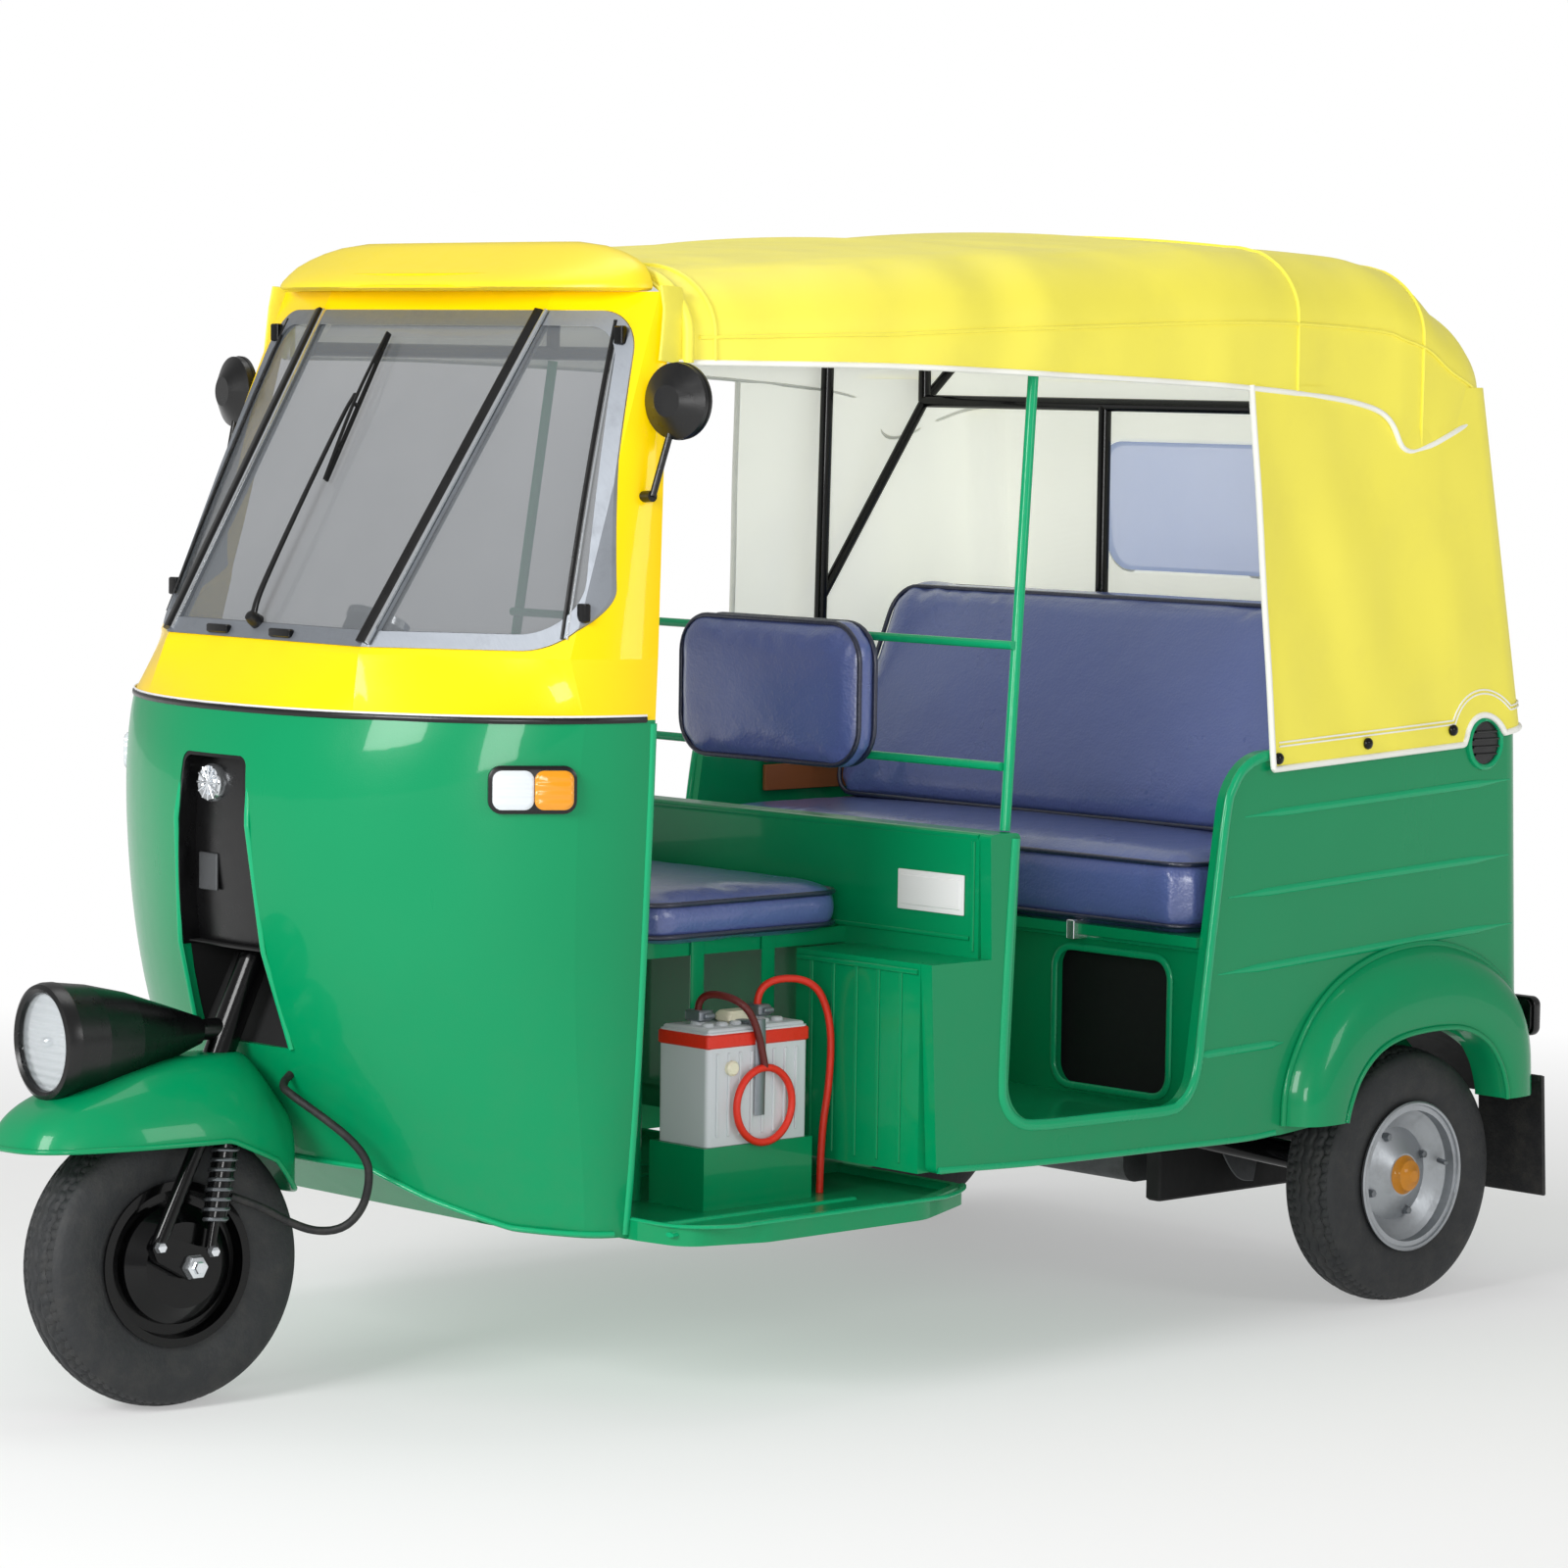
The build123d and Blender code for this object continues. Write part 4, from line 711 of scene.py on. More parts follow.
def piece(name: str, patches: Sequence[Patch], slot: str, *finishes: Finish, body: str = Body.CHASSIS,
          sharp: float = 38.0, doubles: float = 0.01, stands_for: Sequence[str] = ()) -> Any:
    """Builds a piece and places it; the arguments are those of build and place."""
    return place(build(name, patches, sharp, doubles), body, slot, *finishes, stands_for=stands_for)


# ---- nose and windscreen -------------------------------------------------------------------------------
@dataclass
class Cowl:
    """The nose: belt line, door beads, hem, the channel's lip and its fittings.

    Attributes:
        sections: height, half width, Y of the door edge and depth in front of it.
        slot_foot, slot_head: half width and height of the channel's two ends.
    """

    sections: tuple = ((245, 457, -565, 205), (330, 466, -565, 243), (500, 480, -565, 330),
                       (640, 488, -565, 371), (820, 497, -565, 388), (975, 503, -565, 366),
                       (1060, 507, -565, 334))
    slot_foot: tuple = (108, 501)
    slot_head: tuple = (72, 912)

    def sizes(self, height: Any) -> Points:
        """Half width, Y of the door edge and depth at a height, read off the sections."""
        table = np.array(self.sections)
        return np.array([np.interp(height, table[:, 0], table[:, k]) for k in (1, 2, 3)])

    def surface(self, x: Points, height: Points, off: float = 0.0) -> Points:
        """Points on the nose at x and height, stood off it: Y of the door edge less the depth times the
        root of 1 less the square of x over the half width."""
        half, edge, depth = self.sizes(height)
        share = np.clip(x / half, -1, 1)
        y = edge - depth * np.sqrt(np.maximum(0, 1 - share ** 2))
        slope = np.stack([x / half ** 2, (y - edge) / depth ** 2, np.zeros_like(x)], -1)
        return np.stack([x, y, height], -1) + unit(slope) * off

    def across(self, height: float, off: float) -> Points:
        """A line round the nose at a height, from side to side, evenly by angle, stood off it."""
        turn = np.sin(np.linspace(-pi / 2, pi / 2, 80))
        almost = 0.999
        return self.surface(turn * self.sizes(height)[0] * almost, np.full(80, height), off)

    def make(self) -> None:
        """Builds and places the pieces."""
        belt = sweep(self.across(976.0, off=0.6), ring(5.0, 9.0, 10), UP)
        piece("belt_moulding", [belt], "black_plastic", BLACK_PLASTIC)
        bright = sweep(self.across(981.5, off=0.8), ring(3.0, 3.4, 8), UP)
        piece("belt_bright_line", [bright], "bare_aluminium", PLATE)
        heights = np.linspace(252, 970, 40)
        edge = np.stack([self.sizes(heights)[0] - 1.0, np.full(40, -568.0), heights], -1)
        door = sweep(edge, ring(12.0, 9.0, 12), LEFT)
        x = np.linspace(-455, 455, 121)
        hem_z = np.interp(np.abs(x), (0, 165, 250, 360, 470), (327, 327, 292, 258, 249))
        hem = sweep(self.surface(x, hem_z + 4, 1.0), ring(9.0, 8.0, 10), UP)
        (foot, low), (head, high) = self.slot_foot, self.slot_head
        lip_x = np.concatenate([np.linspace(foot, head + 3, 30), np.linspace(head - 8, -head + 8, 16),
                                np.linspace(-head - 3, -foot, 30)])
        lip_z = np.concatenate([np.linspace(low, high - 14, 30), np.full(16, high + 2),
                                np.linspace(high - 14, low, 30)])
        lip = sweep(self.surface(lip_x, lip_z, 1.2), ring(9.0, 8.0, 10), FORWARD)
        piece("nose_beads", [*both(door), hem, lip], "green_paint", GREEN_HIGHLIGHT)
        self.pocket()
        self.indicators()
        self.fittings()

    def pocket(self) -> None:
        """The dull black pocket behind the foot of the channel, painted shade in that recess, three-sided in
        plan, with a lid over the column's way in; its back leans with the column, behind it."""
        bottom, top, rake, behind = 498.0, 640.0, 0.4663, 44.0
        height = np.linspace(bottom, top, 12)
        (foot, low), (head, high) = self.slot_foot, self.slot_head
        half = foot + (head - foot) * (height - low) / (high - low) + 1.0
        front = self.surface(half, height)[:, 1] + 15.0
        back = AXIS.foot[1] + (height - AXIS.foot[2]) * rake + behind
        share = np.array((0.0, 0.5, 1.0, 1.0, 1.0, 1.0, 1.0, 0.5, 0.0))
        across = np.array((-1.0, -1.0, -1.0, -0.6, 0.0, 0.6, 1.0, 1.0, 1.0))
        grid = np.stack([across[None] * half[:, None], front[:, None] + share[None] * (back - front)[:, None],
                         np.broadcast_to(height[:, None], (12, 9))], -1)
        lid_y = np.linspace(front[-1] - 4.0, back[-1] + 2.0, 4)
        lid = np.stack(np.broadcast_arrays(np.linspace(-half[-1], half[-1], 6)[None], lid_y[:, None], top), -1)
        piece("channel_painted_shade_pocket", [sheet_shell(grid, 2.0), sheet_shell(lid, 2.0)], "black_plastic", SHADOW,
              sharp=30)

    def indicators(self) -> None:
        """Side indicators: a black bezel, a clear half in front and an amber half behind."""
        at, out = np.array((447.0, -738.5, 882.0)), np.array((0.836, -0.549, 0.0))
        along, up = np.array((0.549, 0.836, 0.0)), np.array((0.0, 0.0, 1.0))

        def plate(left: float, right: float, height: float, low: float, high: float, corner: float) -> Patch:
            """A rounded plate standing on the nose, from left to right along it."""
            shift = ((left + right) / 2, 0)
            flat = rounded_rectangle((right - left) / 2, -height / 2, height / 2, corner) + shift
            middle = flat.mean(0)
            layers = [(1.0, low), (1.0, high - 3), (0.93, high - 0.8), (0.82, high)]
            rings = []
            for size, off in layers:
                shape = middle + (flat - middle) * size
                rings.append(at + shape[:, :1] * along + shape[:, 1:] * up + out * off)
            return Patch(np.array(rings))

        piece("indicator_bezels", both(plate(-61, 61, 66, -14, 5.5, 18)), "black_plastic", BLACK_PLASTIC)
        piece("indicator_amber", both(plate(2, 56, 54, -10, 13, 13)), "amber_plastic", AMBER_LENS,
              stands_for=["front_indicators"])
        piece("indicator_clear", both(plate(-56, 1, 54, -10, 13, 13)), "clear_plastic", CLEAR_LENS)

    def fittings(self) -> None:
        """The bright horn grille, two screws and a grey plate."""
        grille = [(0, 0), (5, 0), (6, 12), (4, 15), (6, 18), (6, 24), (2, 27), (-6, 27), (-6, 0)]
        pieces = [lathe(grille, (-30, -926, 868), (0, -1, 0.06), 40)]
        spokes = [rod((-30 + 25 * cos(a), -932, 868 + 25 * sin(a)),
                      (-30 - 25 * cos(a), -932, 868 - 25 * sin(a)), 1.8)
                  for a in np.linspace(0, pi, 6, endpoint=False)]
        piece("horn_grille", [*pieces, *spokes], "bare_aluminium", CHROME)
        screws = [lathe([(0, 0), (3, 0), (2, 6), (-2, 6), (-2, 0)], (x, -918, 812), FORWARD, 16)
                  for x in (-45, 12)]
        plate = slab((-62, -924, 715), (-20, -919, 768), 2.0)
        piece("channel_plate", [plate, *screws], "bare_aluminium", CAST)


@dataclass
class Windscreen:
    """The windscreen's bars, seams, catches, sun band and wiper.

    Attributes:
        sill, header: height, half width, Y of the edge, depth in front of it, x of the bend between the
            panes, and the shoulder's share of the half width.
    """

    sill: tuple = (1060, 507, -565, 334, 222, 0.925)
    header: tuple = (1565, 430, -484, 72, 253, 0.985)

    def pane(self, x: Any, height: Any, off: float = 0.0) -> Points:
        """Points on the glass line at x and height, stood off it square. Y runs straight between the
        middle, the bend, the shoulder and the edge, each of which runs straight from sill to header."""
        x, height = np.broadcast_arrays(np.array(x, float), np.array(height, float))

        def depth(across: Points, level: Points) -> Points:
            """Y of the panes at places across and levels."""
            share = (level - self.sill[0]) / (self.header[0] - self.sill[0])
            knots = []
            for _, half, edge, deep, bend, end in (self.sill, self.header):
                at = np.array((0.0, bend, half * end, half))
                front = edge - deep * np.sqrt(1 - (at / half) ** 2)
                front[0] = front[1]
                knots.append((at, front))
            reach = [a + (b - a) * share for a, b in zip(knots[0][0], knots[1][0])]
            back = [a + (b - a) * share for a, b in zip(knots[0][1], knots[1][1])]
            y = back[0]
            for k in range(3):
                part = np.clip((np.abs(across) - reach[k]) / (reach[k + 1] - reach[k]), 0, 1)
                y = y + (back[k + 1] - back[k]) * part
            return y

        y = depth(x, height)
        slope = np.stack([depth(x + 1, height) - y, np.full_like(y, -1.0), depth(x, height + 1) - y], -1)
        return np.stack([x, y, height], -1) + unit(slope) * off

    def front(self, x: float, height: float, off: float) -> Points:
        """A point standing square off the middle pane."""
        low, high = (np.array((0.0, edge - depth * sqrt(1 - (bend / half) ** 2), level))
                     for level, half, edge, depth, bend, _ in (self.sill, self.header))
        way = high - low
        share = (height - low[2]) / way[2]
        at = low + way * share + unit(np.array((0.0, -way[2], way[1]))) * off
        return np.array((x, at[1], at[2]))

    def make(self) -> None:
        """Builds and places the pieces."""
        heights = np.linspace(1074, 1536, 24)
        low, high = self.sill[4], self.header[4]
        bars, strips = [], []
        share = (heights - self.sill[0]) / (self.header[0] - self.sill[0])
        for sign in (-1, 1):
            line = self.pane(sign * (low + (high - low) * share), heights, 4.0)
            bars.append(sweep(line - (4.0, 0, 0), ring(19.0, 8.0, 16, 0.5), (0.3 * sign, -1, 0.4)))
            strips.append(sweep(line + (8.5, 0, 0), ring(6.0, 6.0, 10, 0.6), (0.3 * sign, -1, 0.4)))
        piece("screen_bar_caps", bars, "black_plastic", BLACK_PLASTIC)
        heights = np.linspace(1086, 1524, 24)
        line = self.pane(np.linspace(452, 372, 24), heights, 1.0)
        seams = both(sweep(line, ring(7, 5, 10), (1, -1, 0)))
        strips += both(sweep(line + (5.5, 4.0, 0), ring(4, 4, 8), (1, -1, 0)))
        piece("pane_seams", seams, "black_plastic", BLACK_PLASTIC)
        piece("screen_strips", strips, "bare_aluminium", CHROME)
        ring_x, ring_z = np.array((474.0, 382.0)), np.array((1070.0, 1538.0))
        catches = []
        for height in (1122.0, 1502.0):
            edge = self.pane(np.interp(height, ring_z, ring_x), height, 5.0)
            catches += both(slab(edge - (9, 6, 13), edge + (9, 6, 13), 3.0))
        for x in (-105, 40):
            at = self.front(x, 1078, 5.0)
            catches.append(slab(at - (24, 6, 6), at + (24, 5, 6), 3.0))
        piece("screen_catches", catches, "black_metal", BLACK)
        # The sun band wears the glowing lining, whose glow is painted light.
        band_height = 1520
        left, right = (self.front(x, band_height, -16.0) for x in (-236, 236))
        square = self.front(0, band_height, 1) - self.front(0, band_height, 0)
        strip = bar(left, right, ring(34, 3, 12, 0.4), square)
        piece("sun_band", [strip], "canopy_cloth", GLOWING_LINING)
        self.wiper()

    def wiper(self) -> None:
        """Arm, sprung links and rubber blade."""
        square = self.front(0, 1300, 1) - self.front(0, 1300, 0)
        pivot, tip = (-28.0, 1091.0), (-54.0, 1408.0)
        foot, head = (-30.0, 1288.0), (-57.0, 1499.0)
        arm_line = spline([self.front(*pivot, 14), self.front(-31, 1130, 21), self.front(-40, 1250, 22),
                           self.front(-50, 1370, 19), self.front(*tip, 15)], 40)
        arm = sweep(arm_line, ring(9, 5, 12, 0.7), square, taper=np.linspace(1.3, 0.7, 40))
        cap = lathe([(0, 0), (22, 0), (20, 7), (12, 10), (0, 11)], self.front(*pivot, 2), square, 24)
        backbone = sweep(spline([self.front(*foot, 11), self.front(-44, 1400, 17), self.front(*head, 11)], 30),
                         ring(5, 4, 10, 0.6), square)
        rubber = sweep(straight(self.front(*foot, 7), self.front(*head, 7), 12), ring(5, 7, 10, 0.7), square)
        places = [[foot[k] + (head[k] - foot[k]) * share for k in (0, 1)] for share in (0.2, 0.5, 0.8)]
        links = [rod(self.front(*at, 7), self.front(*at, 15), 3.0) for at in places]
        piece("wiper_set", [arm, cap, backbone, rubber, *links], "black_plastic", BLACK_PLASTIC,
              stands_for=["wiper"])


# ---- roof, curtains and visor --------------------------------------------------------------------------
@dataclass
class Canopy:
    """The sewn roof, its curtains and piping, and the hard visor over the windscreen.

    Attributes:
        stations: Y, height of the top, half width and height of the hem, from front to back.
        shoulder_width, shoulder_drop: how far the roof's rounding reaches in and down.
        crown: how far the middle stands above the shoulders.
        bows: Y of the hoops that hold the roof up.
        curtain_low, curtain_high: height, half width, and Y of the curtains' front edge and back.
        corner: radius of the curtains' rear corners.
        vent: Y, height and radius that the hem clears round the vent.
        rows, cols: how many points the roof's grid has, from front to back and across.
    """

    stations: tuple = ((-480, 1618, 446, 1467), (-380, 1628, 482, 1467), (-140, 1648, 540, 1466),
                       (200, 1666, 562, 1456), (590, 1682, 574, 1440), (850, 1676, 577, 1412),
                       (920, 1667, 580, 1350), (975, 1650, 581, 1352), (1035, 1612, 578, 1372),
                       (1095, 1584, 570, 1392), (1135, 1552, 549, 1400), (1154, 1500, 520, 1401),
                       (1160, 1450, 514, 1401), (1164, 1402, 512, 1401))
    shoulder_width: float = 150.0
    shoulder_drop: float = 112.0
    crown: float = 20.0
    bows: tuple = (134, 500, 985)
    curtain_low: tuple = (862, 612, 598, 1231)
    curtain_high: tuple = (1446, 574, 571, 1157)
    corner: float = 58.0
    vent: tuple = (1107, 876, 53)
    rows: int = 150
    cols: int = 161

    def roof_grid(self) -> Points:
        """The roof as a grid: across, a shallow crown, a quarter oval over each shoulder and a straight
        fall to the hem, with sizes read off the stations; then sag between the bows and soft ripples."""
        y, top, half, hem = spline(self.stations, self.rows).T[..., None]
        s = np.linspace(-1, 1, self.cols)[None, :]
        reach = np.abs(s)
        drop = np.minimum(self.shoulder_drop, (top - hem) * 0.62)
        edge = top - np.minimum(self.crown, np.maximum(top - hem, 0) * 0.25)
        flat, turn = 0.44, 0.74
        inner = half - self.shoulder_width
        x_flat = inner * np.minimum(reach / flat, 1)
        angle = np.clip((reach - flat) / (turn - flat), 0, 1) * pi / 2
        fall = np.clip((reach - turn) / (1 - turn), 0, 1)
        x = x_flat + self.shoulder_width * np.sin(angle)
        z = edge + (top - edge) * (1 - (x_flat / inner) ** 2) - drop * (1 - np.cos(angle))
        z = z - fall * (edge - drop - hem)
        grid = np.stack([np.sign(s) * x, np.broadcast_to(y, x.shape), z], -1)
        bow_width, bow_rise, sag, ripple_size, pull_size = 38, 6, 7, 2.2, 1.6
        nearest = np.min(np.abs(y[..., None] - np.array(self.bows)), -1)
        taut = np.exp(-(nearest / bow_width) ** 2) * np.clip(1.25 - reach, 0, 1)
        slack = np.clip(np.minimum(y + 480, 1100 - y) / 160, 0, 1)
        ripple = np.sin(y / 46 + 3 * np.sin(y / 170) + reach * 4) * (angle > 0.4) * ripple_size
        pull = np.sin(y / 21 + 9 * reach) * fall * pull_size
        lift = (taut * bow_rise - sag * slack * (1 - reach ** 2) + ripple + pull) * slack
        folds = np.stack([lift * np.sign(s) * np.sin(angle), np.zeros_like(lift), lift * np.cos(angle)], -1)
        return grid + folds

    def roof(self) -> None:
        """Builds the roof sheet with its lining, piping, welts and rolled front edge."""
        grid = self.roof_grid()
        sheet = build("canopy_cover", [sheet_shell(grid[:, ::-1], -4.0)], 60.0, 0.001)
        place(sheet, Body.CHASSIS, "canopy_cloth", CANOPY, GLOWING_LINING, stands_for=["canopy_roof"])
        self.line_inside(sheet)
        left, right, back = grid[:, -1], grid[:, 0], grid[-1]
        hem = np.concatenate([left[:-2], back[::-8], right[-3::-1]])
        piping = sweep(even(hem, 420), ring(9, 9, 10), UP)
        edging = piece("valance_piping", [piping], "canopy_cloth", PIPING)
        turn = int(self.cols * (1 + 0.76) / 2)
        welts = [sweep(grid[4:-14, k], ring(8, 6, 8), UP) for k in (turn, self.cols - 1 - turn)]
        front = [sweep(grid[2] + (0, -3, 0), ring(20, 16, 14), BACK), sweep(grid[7] + UP, ring(7, 5, 8), BACK)]
        flap = even([(438, -488, 1572), (446, -489, 1540), (447, -493, 1500), (447, -497, 1467)], 20)
        front += both(sweep(flap, ring(44, 7, 14, 0.6), (1, 0.1, 0)))
        seams = [sweep(grid[k], ring(7, 5, 8), BACK)
                 for k in (int(self.rows * 0.33), int(self.rows * 0.52))]
        welted = piece("roof_welts", [*welts, *front, *seams], "canopy_cloth", CANOPY)

    def line_inside(self, sheet: Any) -> None:
        """Gives the glowing lining, whose glow is painted light, to the faces that look towards the vehicle's
        middle.
        """
        faces, middle = sheet.data.polygons, np.array((0.0, 0.25, 1.2))
        inside = np.sum((middle - rows_of(faces, "center")) * rows_of(faces, "normal"), 1) > 0
        faces.foreach_set("material_index", inside.astype(np.int32))

    def plan(self, height: Points, share: Points) -> Points:
        """A point of the curtains' plan at a height: along a side, round the rear corner and across the
        back, as share runs from 0 at the left front edge to 1 at the right one."""
        (z0, *low), (z1, *high) = self.curtain_low, self.curtain_high
        t = (height - z0) / (z1 - z0)
        half, near, far = (a + (b - a) * t for a, b in zip(low, high))
        sign = np.where(share < 0.5, 1.0, -1.0)
        s = 1 - np.abs(share * 2 - 1)
        straight_end, bend_end = 0.52, 0.62
        y = near + (far - self.corner - near) * np.clip(s / straight_end, 0, 1)
        angle = np.clip((s - straight_end) / (bend_end - straight_end), 0, 1) * pi / 2
        across = np.clip((s - bend_end) / (1 - bend_end), 0, 1)
        x = half - self.corner * (1 - np.cos(angle)) - (half - self.corner) * across
        return np.stack([sign * x, y + self.corner * np.sin(angle), height + 0 * s], -1)

    def hem(self, share: Points, up: float = 0.0) -> Points:
        """Height of the curtains' lower edge: straight runs that rise to the back, arched over the vent."""
        y = self.plan(np.full_like(share, 880.0), share)[..., 1]
        line = np.interp(y, (560, 1052, 1260), (862, 884, 914)) + up
        at_y, at_z, radius = self.vent
        arch = at_z + np.sqrt(np.maximum(0, (radius + up) ** 2 - (y - at_y) ** 2))
        return np.maximum(line, np.where(np.abs(y - at_y) < radius + up, arch, 0))

    def curtains(self) -> None:
        """Builds the curtains with their window hole, piping, stitched band and press studs."""
        share = np.linspace(0, 1, 361)
        low = self.hem(share)
        rise = np.linspace(0, 1, 70)[:, None]
        height = low * (1 - rise) + self.curtain_high[0] * rise
        grid = self.plan(height, np.broadcast_to(share, height.shape))
        s = 1 - np.abs(share * 2 - 1)
        side = np.clip((0.5 - s) / 0.08, 0, 1)
        wave_size, pull_size, back_size = 3.5, 3.0, 2.0
        wave = wave_size * np.sin(grid[..., 1] / 34 + height / 120) * np.sin(pi * rise) * side
        pull = pull_size * np.sin((grid[..., 1] - height * 0.6) / 58) * np.sin(pi * rise) ** 2 * side
        back = back_size * np.sin(grid[..., 0] / 70) * np.sin(pi * rise) * (s > 0.62)
        grid[..., 0] += (wave + pull) * np.sign(grid[..., 0])
        grid[..., 1] += back
        sheet = build("side_curtains", [sheet_shell(grid, 3.0)], 60.0, 0.001)
        outline = rounded_rectangle(300, 1125, 1345, 50)
        prism = np.stack([np.column_stack([outline[:, 0], np.full(len(outline), y), outline[:, 1]])
                          for y in (1060.0, 1320.0)])
        carve(sheet, build("window_cutter", [Patch(prism)]))
        place(sheet, Body.CHASSIS, "canopy_cloth", CANOPY, GLOWING_LINING, stands_for=["canopy_curtains"])
        self.line_inside(sheet)
        edge = np.concatenate([grid[:0:-1, 0], grid[0], grid[1:, -1]])
        piping = sweep(even(edge, 900), ring(10, 10, 10), NEAR_UP)
        window = np.column_stack([outline[:, 0], self.plan(outline[:, 1], np.full(len(outline), 0.5))[:, 1] + 2,
                                  outline[:, 1]])
        frame = hoop(window, 160, ring(14, 9, 12), BACK)
        edging = piece("curtain_piping", [piping, frame], "canopy_cloth", PIPING)
        self.stitching()

    def stitching(self) -> Any:
        """A stitched band above the hem, which it gives back, and press studs on both sides."""
        share = np.linspace(0.006, 0.994, 520)
        bands = []
        for up in (34.0, 40.0):
            line = self.plan(self.hem(share, up), share)
            outward = np.array((1.0, 1.0, 0)) * np.sign(line * (1, 0, 0) + (0, 1, 0))
            line = line + outward * (1.5, 1.5, 0)
            bands.append(sweep(line, ring(3.0, 3.0, 6), NEAR_UP))
        sewn = piece("hem_stitching", bands, "canopy_cloth", PIPING)
        studs = []
        for y, z in ((609, 872), (816, 887), (1021, 900)):
            head = [(0, 0), (5, 0), (4.5, 4), (2, 8), (0, 9), (-3, 9), (-3, 0)]
            studs += both(lathe(head, (613.5, y, z + 8), LEFT, 20))
        piece("press_studs", studs, "black_metal", BLACK)
        return sewn

    def visor(self) -> None:
        """The visor: plan ovals stacked in height, drawn out to a lip above the glass, with two ridges."""
        table = ((1565.3, 388, -490, 92), (1567, 398, -490, 112), (1570, 402, -490, 119),
                 (1574, 402, -490, 118.5), (1580, 400, -490, 112), (1590, 394, -489, 98), (1601, 385, -488, 79),
                 (1612, 364, -487, 60), (1622, 334, -486, 44), (1630, 298, -485, 30), (1636, 240, -484, 18))
        height, half, edge, depth = (column[:, None] for column in np.array(table).T)
        angle = np.linspace(0, pi, 90)[None, :]
        x = half * np.sign(np.cos(angle)) * np.abs(np.cos(angle)) ** 0.72
        y = edge - depth * np.sin(angle) ** 0.9
        arc = np.stack([x, y, np.broadcast_to(height, x.shape)], -1)
        line = np.linspace(-1, 1, 12)[None, 1:-1]
        back = np.stack([half * line, np.full_like(half * line, -480.3), height + 0 * line], -1)
        shell = Patch(np.concatenate([arc, back], 1))
        piece("visor_shell", [shell], "yellow_plastic", VISOR, sharp=50, stands_for=["roof_visor"])
        ridge_x = np.linspace(-372, 372, 80)
        ridge = np.stack([ridge_x, -489 - 101 * np.sqrt(np.maximum(0, 1 - (ridge_x / 396) ** 2)) ** 0.95,
                          np.full(80, 1588.0)], -1)
        lip = np.stack([ridge_x, -490 - 119 * np.sqrt(np.maximum(0, 1 - (ridge_x / 402) ** 2)) ** 0.95,
                        np.full(80, 1570.5)], -1)
        beads = [sweep(ridge, ring(5, 5, 8), UP), sweep(lip, ring(6, 6, 8), UP)]
        piece("visor_ridge", beads, "yellow_plastic", YELLOW)

    def make(self) -> None:
        """Builds and places the pieces."""
        self.roof()
        self.curtains()
        self.visor()


